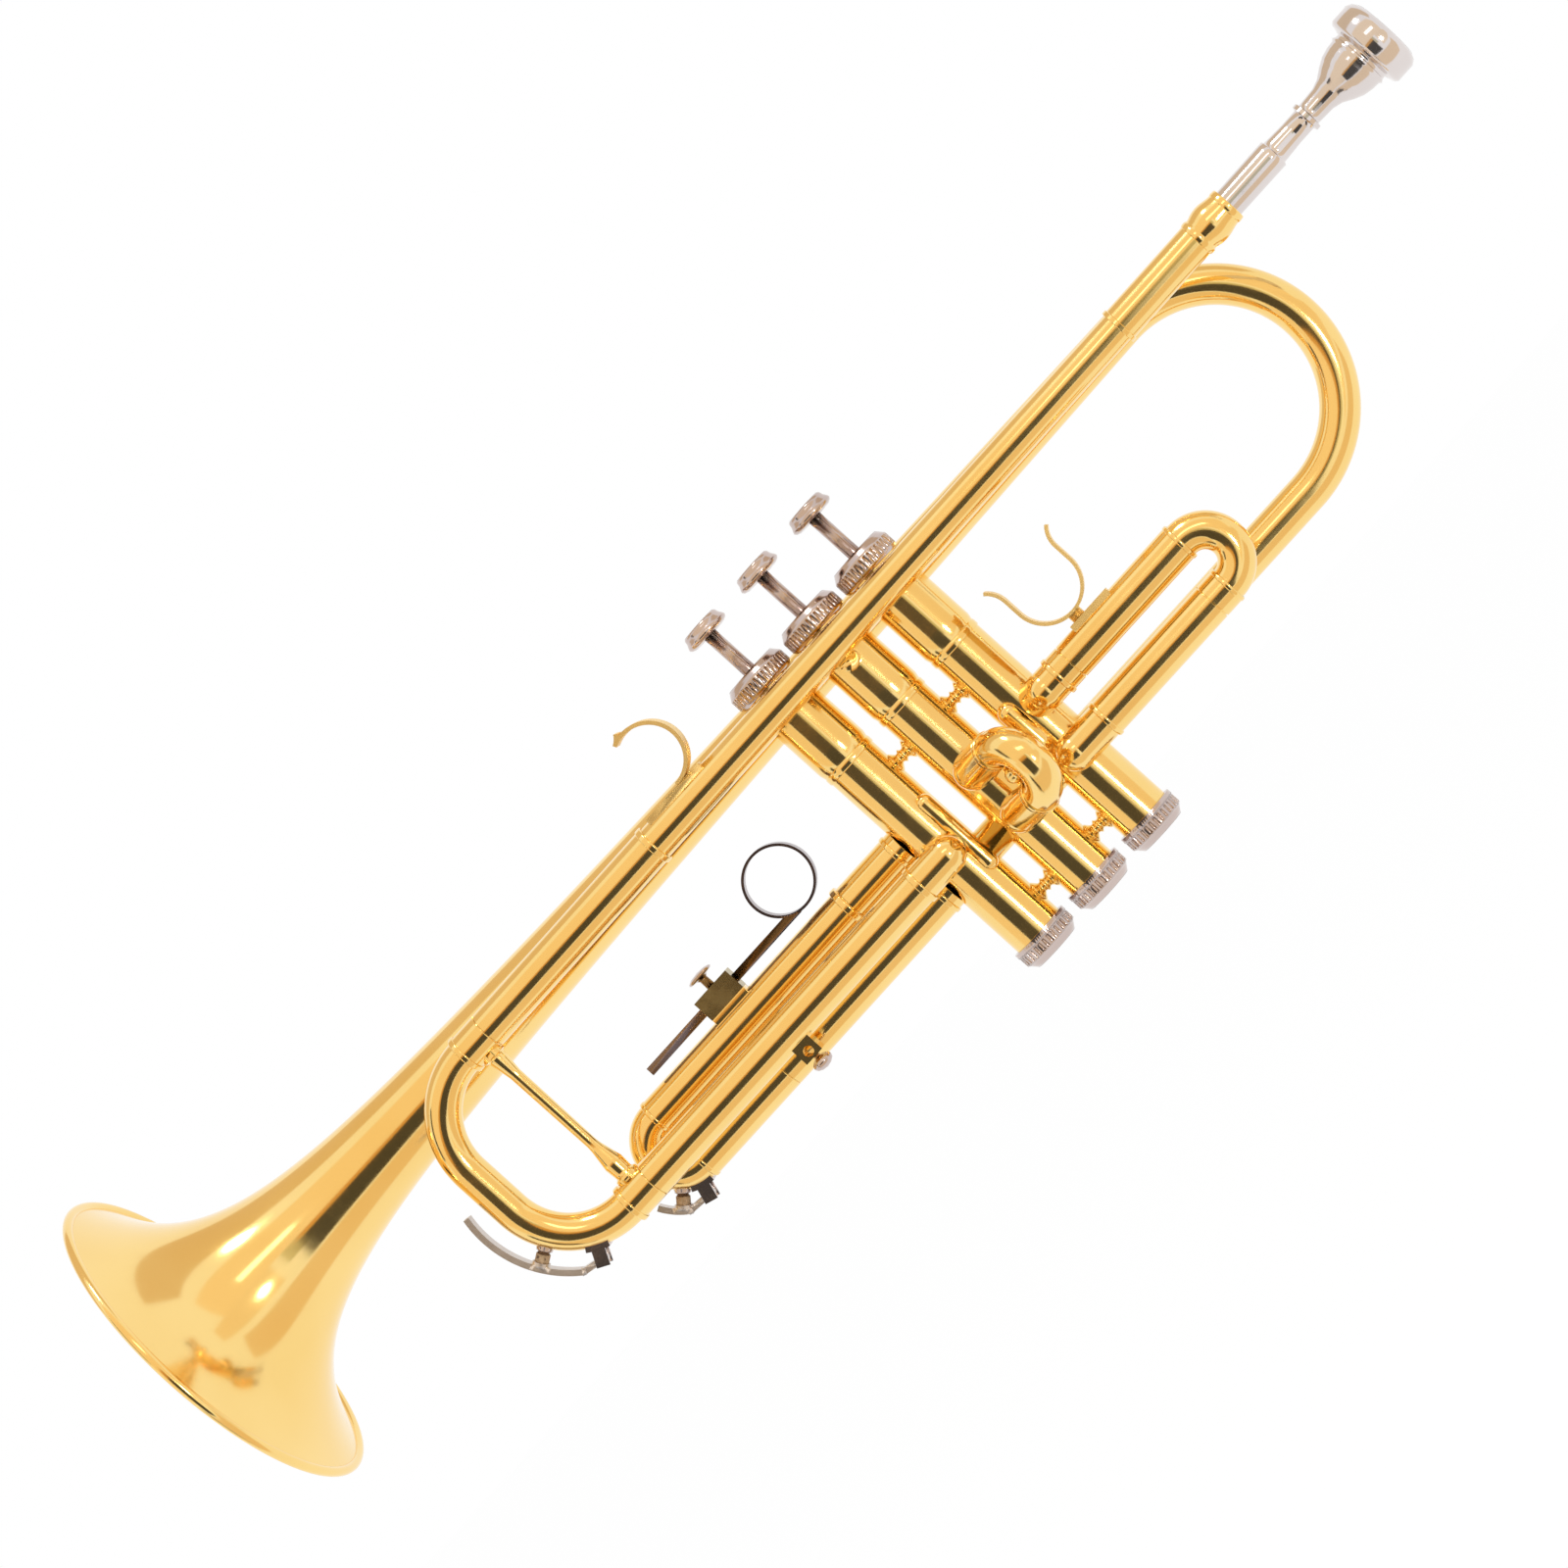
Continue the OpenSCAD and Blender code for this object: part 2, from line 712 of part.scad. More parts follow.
module valve_spring(v) {
    // Coil between the guide and the plate at the top of the barrel
    turns = 9;
    steps = 12;
    sides = 6;
    low_z = ledge_z + 3.4 + guide_h + spring_wire_r + 0.1;
    high_z = barrel_top_z - barrel_plate - spring_wire_r - 0.1;
    n = turns * steps;
    points = [for (i = [0:n]) for (k = [0:sides - 1])
        let (a = i * 360 / steps)
        let (b = k * 360 / sides)
        let (r = spring_r + spring_wire_r * cos(b))
        [r * cos(a), r * sin(a), low_z + (high_z - low_z) * i / n + spring_wire_r * sin(b)]];
    sides_list = [for (i = [0:n - 1]) for (k = [0:sides - 1])
        [i * sides + k, (i + 1) * sides + k, (i + 1) * sides + (k + 1) % sides, i * sides + (k + 1) % sides]];
    ends = [[for (k = [0:sides - 1]) k], [for (k = [sides - 1:-1:0]) n * sides + k]];
    color(STEEL)
        translate([valve_x[v], 0, 0])
            polyhedron(points = points, faces = concat(sides_list, ends), convexity = 10);
}

module valve_stem(v) {
    // From the barrel through the cap into the button
    color(NICKEL)
        translate([valve_x[v], 0, barrel_top_z])
            cylinder(h = stem_top_z + 1.6 - barrel_top_z, r = stem_r);
}

module stem_felt(v) {
    // Felt washer on the barrel that stops the valve quietly under the cap
    color("ivory")
        translate([valve_x[v], 0, barrel_top_z])
            difference() {
                cylinder(h = felt_h, r = barrel_r - 0.3);
                translate([0, 0, -over])
                    cylinder(h = felt_h + 2 * over, r = stem_r);
            }
}

module finger_button(v) {
    // Turned button with a dished top
    color(NICKEL)
        translate([valve_x[v], 0, stem_top_z])
            rotate_extrude()
                polygon([
                    [stem_r, 0],
                    [button_r - 1.6, 0],
                    [button_r - 0.5, 0.5],
                    [button_r, 1.2],
                    [button_r - 0.2, 1.9],
                    [button_r - 0.9, 3.1],
                    [button_r - 1.2, button_h - 0.5],
                    [button_r - 1.7, button_h],
                    [button_r - 2.3, button_h - 0.1],
                    [button_r - 3.4, button_h - 0.7],
                    [0, button_h - 1.1],
                    [0, 1.6],
                    [stem_r, 1.6],
                ]);
}

// ---------------------------------------------------------------- valve block

module valve_crosstubes() {
    // Tubes between neighbouring valves, and the swellings beside the ports
    color(GOLD) {
        for (v = [2, 3])
            difference() {
                translate([valve_x[v], 0, cross_z])
                    rod(valve_pitch, leg_r);
                translate([valve_x[v], 0, cross_z])
                    rod(valve_pitch, leg_bore_r);
                casing_cut(v);
                casing_cut(v - 1);
            }
        swelling(3, 6.4, -13, 17, 3);
        swelling(1, -4, 0, 17, 3.6);
    }
}

module swelling(v, side, low, high, r) {
    // An upright capsule on the front of a casing
    y = -sqrt(pow(casing_r - 0.6, 2) - side * side);
    difference() {
        translate([valve_x[v] + side, y, 0])
            union() {
                translate([0, 0, low])
                    cylinder(h = high - low - r, r = r);
                translate([0, 0, high - r])
                    sphere(r = r);
                translate([0, 0, low])
                    sphere(r = r);
            }
        casing_cut(v);
        if (v == 3)
            knuckle_shape(3, [valve_x[3], leadpipe_y, lower_z], 180, 1, knuckle_r);
        if (v == 1)
            knuckle_shape(1, [first_lower_x, first_y, -leg_z], 0, 1, knuckle_r);
    }
}

module post(len, r) {
    // A turned post along +X with a foot at each end
    waist = r * 0.5;
    lathe([
        [0, 0],
        [0, r],
        [len * 0.2, r],
        [len * 0.35, waist],
        [len * 0.42, waist],
        [len * 0.5, r * 0.72],
        [len * 0.58, waist],
        [len * 0.65, waist],
        [len * 0.8, r],
        [len, r],
        [len, 0],
    ]);
}

module casing_posts() {
    // Posts between neighbouring casings, above and below the slides
    heights = [28.9, -30.8];
    reach = 1.6;
    gap = valve_pitch - 2 * casing_r;
    color(GOLD)
        for (v = [2, 3])
            for (z = heights)
                difference() {
                    translate([valve_x[v] + casing_r - reach, 0, z])
                        post(gap + 2 * reach, 3.6);
                    casing_cut(v);
                    casing_cut(v - 1);
                }
}

module brace(x) {
    // A turned post along Y between the leadpipe and the bell
    span = bell_y - leadpipe_y;
    start = pipe_r_at(x) + 1;
    end = span - bell_radius(x - bell_rim_x) - 1;
    foot_r = 4.2;
    waist_r = 1.8;
    difference() {
        translate([x, leadpipe_y, upper_z])
            rotate([0, 0, 90])
                lathe([
                    [0, 0],
                    [0, foot_r],
                    [start, foot_r],
                    [start + 1, 2.6],
                    [start + 3, waist_r],
                    [(start + end) / 2 - 2, waist_r],
                    [(start + end) / 2, 3],
                    [(start + end) / 2 + 2, waist_r],
                    [end - 3, waist_r],
                    [end - 1, 2.6],
                    [end, foot_r],
                    [span, foot_r],
                    [span, 0],
                ]);
        translate([0, leadpipe_y, upper_z])
            lathe(leadpipe_outline());
        translate([0, bell_y, upper_z])
            lathe(bell_outline());
    }
}

module leadpipe_braces() {
    // Two braces to the bell and a saddle on the middle casing
    saddle_z = upper_z - 7;
    color(GOLD) {
        brace(brace_x[0]);
        brace(brace_x[1]);
        difference() {
            translate([0, leadpipe_y, saddle_z])
                rotate([0, 0, 90])
                    rod(-leadpipe_y, 3.4);
            translate([0, 0, saddle_z - 8])
                cylinder(h = 20, r = casing_top_r);
            translate([0, leadpipe_y, upper_z])
                lathe(leadpipe_outline());
        }
    }
}

// ---------------------------------------------------------------- main tuning slide

module ringed_tube(x0, x1, ro, ri, ring_at, ring_w) {
    // A tube from x0 to x1 with one raised ring
    translate([x0, 0, 0])
        tube(x1 - x0, ro, ri);
    translate([ring_at, 0, 0])
        tube(ring_w, ro + ring_rise, ro - 0.1);
}

module tuning_upper_sleeve() {
    // The outer tube that ends on the leadpipe
    ring_w = 2.2;
    start_x = tuning_bend_x + tuning_ferrule_len + end_gap;
    color(GOLD)
        translate([0, leadpipe_y, upper_z])
            ringed_tube(start_x, tuning_ring_x, sleeve_r, sleeve_bore_r, tuning_ring_x - ring_w, ring_w);
}

module tuning_lower_sleeve() {
    // The outer tube and its knuckle into the third valve
    ring_w = 2.2;
    start_x = tuning_bend_x + tuning_ferrule_len + end_gap;
    color(GOLD) {
        translate([0, leadpipe_y, lower_z])
            ringed_tube(start_x, tuning_lower_ring_x, sleeve_r, sleeve_bore_r,
                tuning_lower_ring_x - ring_w, ring_w);
        knuckle(3, [valve_x[3], leadpipe_y, lower_z], 180, valve_x[3] - tuning_lower_ring_x,
            knuckle_r, leg_bore_r);
    }
}

module tuning_crook() {
    // Two quarter bends and a straight between them
    r = tuning_bend_r;
    straight = tuning_spacing - 2 * r;
    color(GOLD)
        translate([tuning_bend_x, leadpipe_y, 0]) {
            translate([0, 0, upper_z - r])
                bend(r, 90, 90, leg_r, leg_bore_r);
            translate([0, 0, lower_z + r])
                bend(r, 180, 90, leg_r, leg_bore_r);
            translate([-r, 0, lower_z + r])
                difference() {
                    cylinder(h = straight, r = leg_r);
                    translate([0, 0, -over])
                        cylinder(h = straight + 2 * over, r = leg_bore_r);
                }
        }
}

module tuning_legs() {
    // The two inner tubes that slide in the sleeves
    color(GOLD)
        for (z = [upper_z, lower_z])
            translate([tuning_bend_x, leadpipe_y, z])
                tube(tuning_leg_end_x - tuning_bend_x, leg_r, leg_bore_r);
}

module tuning_ferrules() {
    // Ferrules that join crook and legs, each with a bead at the crook
    bead_w = 2;
    color(GOLD)
        for (z = [upper_z, lower_z])
            translate([tuning_bend_x, leadpipe_y, z]) {
                tube(tuning_ferrule_len, sleeve_r, leg_r);
                tube(bead_w, sleeve_r + ring_rise, leg_r);
            }
}

module tuning_brace() {
    // Upright pull brace between the two ferrules
    foot = sleeve_r - 1.4;
    len = tuning_spacing;
    x = tuning_bend_x + tuning_ferrule_len / 2 + 1.2;
    color(GOLD)
        difference() {
            translate([x, leadpipe_y, lower_z])
                rotate([0, -90, 0])
                    rotate([180, 0, 0])
                        lathe([
                            [foot, 0],
                            [foot, 4.2],
                            [sleeve_r + 0.8, 4.2],
                            [sleeve_r + 1.6, 3.2],
                            [sleeve_r + 6, 3.5],
                            [sleeve_r + 9, 2.9],
                            [sleeve_r + 13, 2.1],
                            [sleeve_r + 15, 1.9],
                            [len - sleeve_r - 9, 2.1],
                            [len - sleeve_r - 2.6, 3],
                            [len - sleeve_r - 1, 3.2],
                            [len - sleeve_r - 0.6, 4.2],
                            [len - foot, 4.2],
                            [len - foot, 0],
                        ]);
            for (z = [upper_z, lower_z])
                translate([tuning_bend_x - 10, leadpipe_y, z])
                    rod(30, sleeve_r);
        }
}

// ---------------------------------------------------------------- water keys

module key_saddle(r, hinge_a, nipple_a, lift) {
    // Two cheeks with a pin between them, and the nipple that the cork closes.
    // Angles lie in the XZ plane about the centre of the bend, and r is the bend's outer radius.
    cheek_w = 1.1;
    base_w = 7.4;
    nipple_r = 2;
    hinge_r = r + lift;
    tube_at = r - leg_r;
    difference() {
        union() {
            arc_strip(r - 1.5, r + 0.6, base_w, hinge_a - 7 * 32 / r, 14 * 32 / r);
            for (s = [-1, 1])
                translate([hinge_r * cos(hinge_a), s * (base_w - cheek_w) / 2, hinge_r * sin(hinge_a)])
                    rotate([0, -hinge_a, 0])
                        translate([-lift, -cheek_w / 2, -2.2])
                            cube([lift + 2, cheek_w, 4.4]);
            translate([hinge_r * cos(hinge_a), base_w / 2, hinge_r * sin(hinge_a)])
                rotate([90, 0, 0])
                    cylinder(h = base_w, r = key_pin_r);
            rotate([0, 90 - nipple_a, 0])
                translate([0, 0, r - 1.5])
                    difference() {
                        union() {
                            cylinder(h = 2.3, r1 = nipple_r + 1.2, r2 = nipple_r + 0.6);
                            cylinder(h = 3.4, r = nipple_r);
                        }
                        translate([0, 0, -over])
                            cylinder(h = 6, r = 1.1);
                    }
        }
        rotate([90, 0, 0])
            rotate_extrude(angle = 120, start = hinge_a - 90)
                translate([tube_at, 0])
                    circle(r = leg_r);
    }
}

module key_lever(r, hinge_a, nipple_a, lift, reach_a, width) {
    // Curved lever with an eye on the pin and a cup over the cork
    hinge_r = r + lift;
    mid = r + 5.6;
    thick = 2;
    eye_w = 4.6;
    cup_r = 2.9;
    difference() {
        union() {
            arc_strip(mid, mid + thick, width, reach_a, hinge_a - 9 * 32 / r - reach_a);
            translate([hinge_r * cos(hinge_a), eye_w / 2, hinge_r * sin(hinge_a)])
                rotate([90, 0, 0])
                    cylinder(h = eye_w, r = key_pin_r + 1.1);
            key_arm(r, hinge_a, lift, mid + thick / 2, width - 1);
            rotate([0, 90 - nipple_a, 0])
                translate([0, 0, r + 4.6])
                    cylinder(h = 1.6, r = cup_r);
        }
        translate([hinge_r * cos(hinge_a), eye_w, hinge_r * sin(hinge_a)])
            rotate([90, 0, 0])
                cylinder(h = 2 * eye_w, r = key_pin_r + key_pin_gap);
        rotate([0, 90 - nipple_a, 0])
            translate([0, 0, r + 4.6 - over])
                cylinder(h = 0.8 + over, r = cup_r - 0.6);
    }
}

module key_arm(r, hinge_a, lift, mid, width) {
    // The straight part of the lever from the eye to the arc
    from = [(r + lift) * cos(hinge_a), (r + lift) * sin(hinge_a)];
    a = hinge_a - 10 * 32 / r;
    to = [mid * cos(a), mid * sin(a)];
    d = to - from;
    translate([from[0], -width / 2, from[1]])
        rotate([0, -atan2(d[1], d[0]), 0])
            translate([0, 0, -1])
                cube([norm(d) + 1, width, 2]);
}

module key_cork(r, nipple_a) {
    // Cork disc pressed into the cup, resting on the nipple
    rotate([0, 90 - nipple_a, 0])
        translate([0, 0, r + 1.95])
            cylinder(h = 3.45, r = 2.3);
}

module at_tuning_key() {
    translate([tuning_bend_x, leadpipe_y, lower_z + tuning_bend_r])
        children();
}

module tuning_key_saddle() {
    color(NICKEL)
        at_tuning_key()
            key_saddle(tuning_key_r, tuning_hinge_a, tuning_nipple_a, tuning_key_lift);
}

module tuning_key_lever() {
    color(NICKEL)
        at_tuning_key()
            key_lever(tuning_key_r, tuning_hinge_a, tuning_nipple_a, tuning_key_lift, 167, 5);
}

module tuning_key_cork() {
    color(CORK)
        at_tuning_key()
            key_cork(tuning_key_r, tuning_nipple_a);
}

module at_third_key() {
    translate([third_bend_x, 0, 0])
        children();
}

module third_key_saddle() {
    color(NICKEL)
        at_third_key()
            key_saddle(third_key_r, third_hinge_a, third_nipple_a, third_key_lift);
}

module third_key_lever() {
    color(NICKEL)
        at_third_key()
            key_lever(third_key_r, third_hinge_a, third_nipple_a, third_key_lift, 205, 4.2);
}

module third_key_cork() {
    color(CORK)
        at_third_key()
            key_cork(third_key_r, third_nipple_a);
}

// ---------------------------------------------------------------- third slide

module third_fixed_tubes() {
    // Inner tube above and outer tube below, with collars at the casing
    start = valve_x[3];
    collar_x = start - casing_r - 3.4;
    color(GOLD)
        difference() {
            union() {
                translate([third_fixed_end_x, 0, leg_z])
                    rod(start - third_fixed_end_x, leg_r);
                translate([third_upper_end_x + end_gap, 0, leg_z])
                    rod(start - third_upper_end_x - end_gap, sleeve_r);
                translate([third_lower_end_x, 0, -leg_z])
                    rod(start - third_lower_end_x, sleeve_r);
                for (z = [leg_z, -leg_z])
                    translate([collar_x, 0, z])
                        rod(1.8, sleeve_r + ring_rise);
            }
            translate([third_fixed_end_x - over, 0, leg_z])
                rod(start - third_fixed_end_x + over, leg_bore_r);
            translate([third_lower_end_x - over, 0, -leg_z])
                rod(third_leg_end_x - third_lower_end_x + 2 * over, sleeve_bore_r);
            translate([third_leg_end_x, 0, -leg_z])
                rod(start - third_leg_end_x, leg_bore_r);
            casing_cut(3);
        }
}

module third_crook() {
    // Half bend that joins the two legs
    color(GOLD)
        translate([third_bend_x, 0, 0])
            bend(leg_z, 90, 180, leg_r, leg_bore_r);
}

module third_moving_tubes() {
    // Outer tube above, inner tube with its ferrule below, and the saddle of the ring block
    bead_w = 2.4;
    joint_w = 1.6;
    color(GOLD) {
        translate([third_bend_x, 0, leg_z])
            tube(third_upper_end_x - third_bend_x, sleeve_r, sleeve_bore_r);
        translate([third_upper_end_x - bead_w, 0, leg_z])
            tube(bead_w, sleeve_r + 2 * ring_rise, sleeve_r - 0.1);
        translate([third_bend_x, 0, -leg_z])
            tube(third_lower_end_x - end_gap - third_bend_x, sleeve_r, leg_r - 0.1);
        translate([third_bend_x, 0, -leg_z])
            tube(third_leg_end_x - third_bend_x - over, leg_r, leg_bore_r);
        for (s = [1, -1])
            translate([third_bend_x, 0, s * leg_z])
                tube(joint_w, sleeve_r + 0.6 * ring_rise, leg_r);
        translate([ring_block_x, 0, leg_z])
            difference() {
                union() {
                    translate([-ring_block_len / 2 - 1, -ring_block_w / 2 - 0.5, 4])
                        cube([ring_block_len + 2, ring_block_w + 1, 1.4]);
                    translate([-ring_block_len / 2, -ring_block_w / 2, 4])
                        cube([ring_block_len, ring_block_w, ring_block_low - 4]);
                }
                translate([-ring_block_len, 0, 0])
                    rod(2 * ring_block_len, sleeve_r - 0.1);
            }
    }
}

module ring_block() {
    // Brass block with a square channel for the rod and a hole for the thumb screw
    low = leg_z + ring_block_low;
    high = rod_z + 4;
    color([0.45, 0.38, 0.20])
        difference() {
            translate([ring_block_x - ring_block_len / 2, -ring_block_w / 2, low])
                cube([ring_block_len, ring_block_w, high - low]);
            translate([ring_block_x - ring_block_len, -rod_w / 2 - rod_gap, rod_z - rod_h / 2 - rod_gap])
                cube([2 * ring_block_len, rod_w + 2 * rod_gap, rod_h + 2 * rod_gap]);
            translate([ring_block_x, 0, rod_z])
                cylinder(h = 10, r = ring_screw_r + rod_gap);
        }
}

module ring_screw() {
    // Thumb screw that clamps the rod
    tip_z = rod_z + rod_h / 2 + rod_gap;
    head_z = rod_z + 8.2;
    head_r = 4.8;
    color(NICKEL)
        translate([ring_block_x, 0, 0])
            rotate_extrude()
                polygon([
                    [0, tip_z],
                    [ring_screw_r, tip_z],
                    [ring_screw_r, head_z - 1],
                    [ring_screw_r + 0.8, head_z - 0.3],
                    [head_r - 0.5, head_z],
                    [head_r, head_z + 0.4],
                    [head_r - 0.3, head_z + 0.9],
                    [head_r - 1.8, head_z + 1.5],
                    [0, head_z + 1.8],
                ]);
}

module finger_ring() {
    // Flat rod with a thin ring on its end
    ring_w = 5.4;
    ring_t = 0.9;
    rod_end = finger_ring_x - 6.6;
    centre_z = rod_z - rod_h / 2 + finger_ring_r;
    color(DARK) {
        translate([finger_ring_x, 0, centre_z])
            arc_strip(finger_ring_r - ring_t, finger_ring_r, ring_w, 0, 360);
        difference() {
            translate([rod_end - ring_rod_len, -rod_w / 2, rod_z - rod_h / 2])
                cube([ring_rod_len + 4, rod_w, rod_h]);
            translate([finger_ring_x, ring_w, centre_z])
                rotate([90, 0, 0])
                    cylinder(h = 2 * ring_w, r = finger_ring_r - ring_t / 2);
        }
    }
}

// ---------------------------------------------------------------- lyre socket

module lyre_socket() {
    // Block under the lower tuning sleeve with a bore along Y
    len = 7;
    color(GOLD)
        difference() {
            translate([lyre_x - len / 2, leadpipe_y - lyre_block_w / 2, lyre_z - lyre_block_h / 2])
                cube([len, lyre_block_w, lyre_block_h + 3]);
            translate([lyre_x - len, leadpipe_y, lower_z])
                rod(2 * len, sleeve_r);
            translate([lyre_x, leadpipe_y + lyre_block_w, lyre_z])
                rotate([90, 0, 0])
                    cylinder(h = 2 * lyre_block_w, r = lyre_bore_r);
            translate([lyre_x, leadpipe_y, lyre_z - lyre_block_h])
                cylinder(h = lyre_block_h, r = lyre_screw_r + rod_gap);
        }
}

module lyre_screw() {
    // Screw with a round head that clamps a lyre
    head_r = 3.7;
    tip_z = lyre_z - lyre_bore_r - 0.1;
    low_z = lyre_z - lyre_block_h / 2;
    color(NICKEL)
        translate([lyre_x, leadpipe_y, 0])
            rotate_extrude()
                polygon([
                    [0, tip_z],
                    [lyre_screw_r, tip_z],
                    [lyre_screw_r, low_z - 0.8],
                    [head_r - 1.6, low_z - 1.2],
                    [head_r - 0.4, low_z - 2],
                    [head_r, low_z - 3],
                    [head_r - 0.5, low_z - 4.1],
                    [head_r - 1.8, low_z - 4.9],
                    [0, low_z - 5.3],
                ]);
}

// ---------------------------------------------------------------- first slide

module first_fixed_tubes() {
    // Two ball elbows; the upper one carries an inner tube, the lower one an outer tube
    collar_x = first_collar_x;
    ring_w = 1.8;
    stop_x = first_start_x - end_gap;
    upper = [first_upper_x, first_y, leg_z];
    lower = [first_lower_x, first_y, -leg_z];
    color(GOLD)
        difference() {
            union() {
                knuckle_shape(1, upper, 0, stop_x - upper[0] - 1, knuckle_r);
                knuckle_shape(1, lower, 0, collar_x - lower[0] + 1, knuckle_r);
                translate(upper)
                    rod(first_fixed_end_x - upper[0], leg_r);
                translate([collar_x, first_y, leg_z])
                    rod(stop_x - collar_x, sleeve_r);
                translate([collar_x, first_y, -leg_z])
                    rod(first_lower_end_x - collar_x, sleeve_r);
                for (s = [1, -1])
                    translate([collar_x, first_y, s * leg_z])
                        rod(ring_w, sleeve_r + ring_rise);
            }
            knuckle_shape(1, upper, 0, first_fixed_end_x - upper[0] + over, leg_bore_r);
            knuckle_shape(1, lower, 0, first_leg_end_x - lower[0], leg_bore_r);
            translate([first_leg_end_x - 0.5, first_y, -leg_z])
                rod(first_lower_end_x - first_leg_end_x + over, sleeve_bore_r);
            casing_cut(1);
        }
}

module first_crook() {
    // Half bend that joins the two legs
    color(GOLD)
        translate([first_bend_x, first_y, 0])
            bend(leg_z, -90, 180, leg_r, leg_bore_r);
}

module first_moving_tubes() {
    // Outer tube above, inner tube with its ferrule below
    joint_w = 1.6;
    color(GOLD) {
        translate([first_start_x, first_y, leg_z])
            tube(first_bend_x - first_start_x, sleeve_r, sleeve_bore_r);
        translate([first_lower_end_x + end_gap, first_y, -leg_z])
            tube(first_bend_x - first_lower_end_x - end_gap, sleeve_r, leg_r - 0.1);
        translate([first_leg_end_x + 1, first_y, -leg_z])
            tube(first_bend_x - first_leg_end_x - 1, leg_r, leg_bore_r);
        for (s = [1, -1])
            translate([first_bend_x - joint_w, first_y, s * leg_z])
                tube(joint_w, sleeve_r + 0.6 * ring_rise, leg_r);
    }
}

module thumb_saddle() {
    // U-shaped saddle for the thumb, on a foot
    t = 1.1;
    w = 9.5;
    arm_h = 6;
    lip_r = 8;
    centre_z = leg_z + sleeve_r + 3 + saddle_r;
    foot_len = 16;
    color(GOLD)
        translate([saddle_x, first_y, 0]) {
            translate([0, 0, centre_z])
                arc_strip(saddle_r - t, saddle_r, w, 180, 180);
            for (s = [-1, 1]) {
                translate([s * (saddle_r - t / 2) - t / 2, -w / 2, centre_z])
                    cube([t, w, arm_h]);
                translate([s * (saddle_r + lip_r), 0, centre_z + arm_h])
                    arc_strip(lip_r, lip_r + t, w, s > 0 ? 132 : 0, 48);
            }
            difference() {
                union() {
                    cylinder(h = centre_z - saddle_r + t / 2, r = 2.4);
                    translate([-4, -4, 0])
                        cube([foot_len, 8, leg_z + sleeve_r + 0.9]);
                }
                translate([-foot_len, 0, leg_z])
                    rod(3 * foot_len, sleeve_r);
                translate([-foot_len, -8, -over])
                    cube([3 * foot_len, 16, leg_z + sleeve_r - 2.2 + over]);
            }
        }
}

// ---------------------------------------------------------------- second slide

module at_second_slide(s) {
    // Turns +X into the direction of the second slide, at the elbow of one leg
    translate([second_x, second_y, s * leg_z])
        rotate([0, 0, second_angle - 90])
            children();
}

module second_slide_sleeves() {
    // Two ball elbows with short sleeves
    color(GOLD)
        for (s = [1, -1])
            difference() {
                union() {
                    knuckle_shape(2, [second_x, second_y, s * leg_z], second_angle - 90,
                        second_stop, knuckle_r);
                    at_second_slide(s)
                        translate([second_stop - 1, 0, 0])
                            rod(second_sleeve_len - second_stop + 1, sleeve_r);
                }
                knuckle_shape(2, [second_x, second_y, s * leg_z], second_angle - 90,
                    second_stop, leg_bore_r);
                at_second_slide(s)
                    translate([second_stop - 0.5, 0, 0])
                        rod(second_sleeve_len - second_stop + over, sleeve_bore_r);
                casing_cut(2);
            }
}

module second_slide_legs() {
    // Two short inner tubes with ferrules at the crook
    bead_w = 1.4;
    color(GOLD)
        for (s = [1, -1])
            at_second_slide(s) {
                translate([second_stop + 0.5, 0, 0])
                    tube(second_sleeve_len - second_stop + end_gap + 1, leg_r, leg_bore_r);
                translate([second_sleeve_len + end_gap, 0, 0])
                    tube(bead_w, sleeve_r, leg_r - 0.1);
            }
}

module second_crook() {
    // Half bend of the second slide
    start = second_sleeve_len + end_gap + 1.5;
    color(GOLD)
        translate([second_x, second_y, 0])
            rotate([0, 0, second_angle - 90])
                translate([start, 0, 0])
                    bend(leg_z, -90, 180, leg_r, leg_bore_r);
}

module second_slide_knob() {
    // Turned pull knob on the inside of the crook
    start = second_sleeve_len + end_gap + 1.5;
    seat = start + leg_z - leg_r;
    color(GOLD)
        translate([second_x, second_y, 0])
            rotate([0, 0, second_angle - 90])
                difference() {
                    lathe([
                        [2.4, 0],
                        [2.6, 2.2],
                        [4, 3.6],
                        [6.5, 4.2],
                        [9, 3.7],
                        [10.6, 2.4],
                        [11.4, 1.7],
                        [12.4, 1.7],
                        [13, 2.6],
                        [14.5, 3.1],
                        [16, 2.6],
                        [17, 2.2],
                        [seat + 1.5, 2.4],
                        [seat + 1.5, 0],
                    ]);
                    translate([start, 0, 0])
                        rotate([90, 0, 0])
                            rotate_extrude()
                                translate([leg_z, 0])
                                    circle(r = leg_r);
                }
}

// ---------------------------------------------------------------- finger hook

module finger_hook() {
    // Open hook for the little finger, on a foot on the leadpipe
    t = 1.3;
    w = 9;
    foot_x = -78.4;
    foot_len = 24;
    foot_w = 8;
    centre_z = upper_z + sleeve_bore_r + 0.5 + hook_r;
    lip_r = 6;
    tip_a = 112;
    color(GOLD)
        difference() {
            union() {
                translate([hook_x, leadpipe_y, centre_z])
                    arc_strip(hook_r - t, hook_r, w, -90, 90 + tip_a);
                translate([hook_x + (hook_r + lip_r) * cos(tip_a), leadpipe_y,
                    centre_z + (hook_r + lip_r) * sin(tip_a)])
                    arc_strip(lip_r, lip_r + t, w, tip_a + 180, 34);
                translate([foot_x, leadpipe_y - foot_w / 2, upper_z + 3.5])
                    cube([foot_len, foot_w, sleeve_bore_r - 3.5 + 0.8]);
            }
            translate([0, leadpipe_y, upper_z])
                lathe(leadpipe_outline());
            translate([tuning_ring_x - 10, leadpipe_y, upper_z])
                rod(10, sleeve_r + ring_rise + 0.1);
        }
}

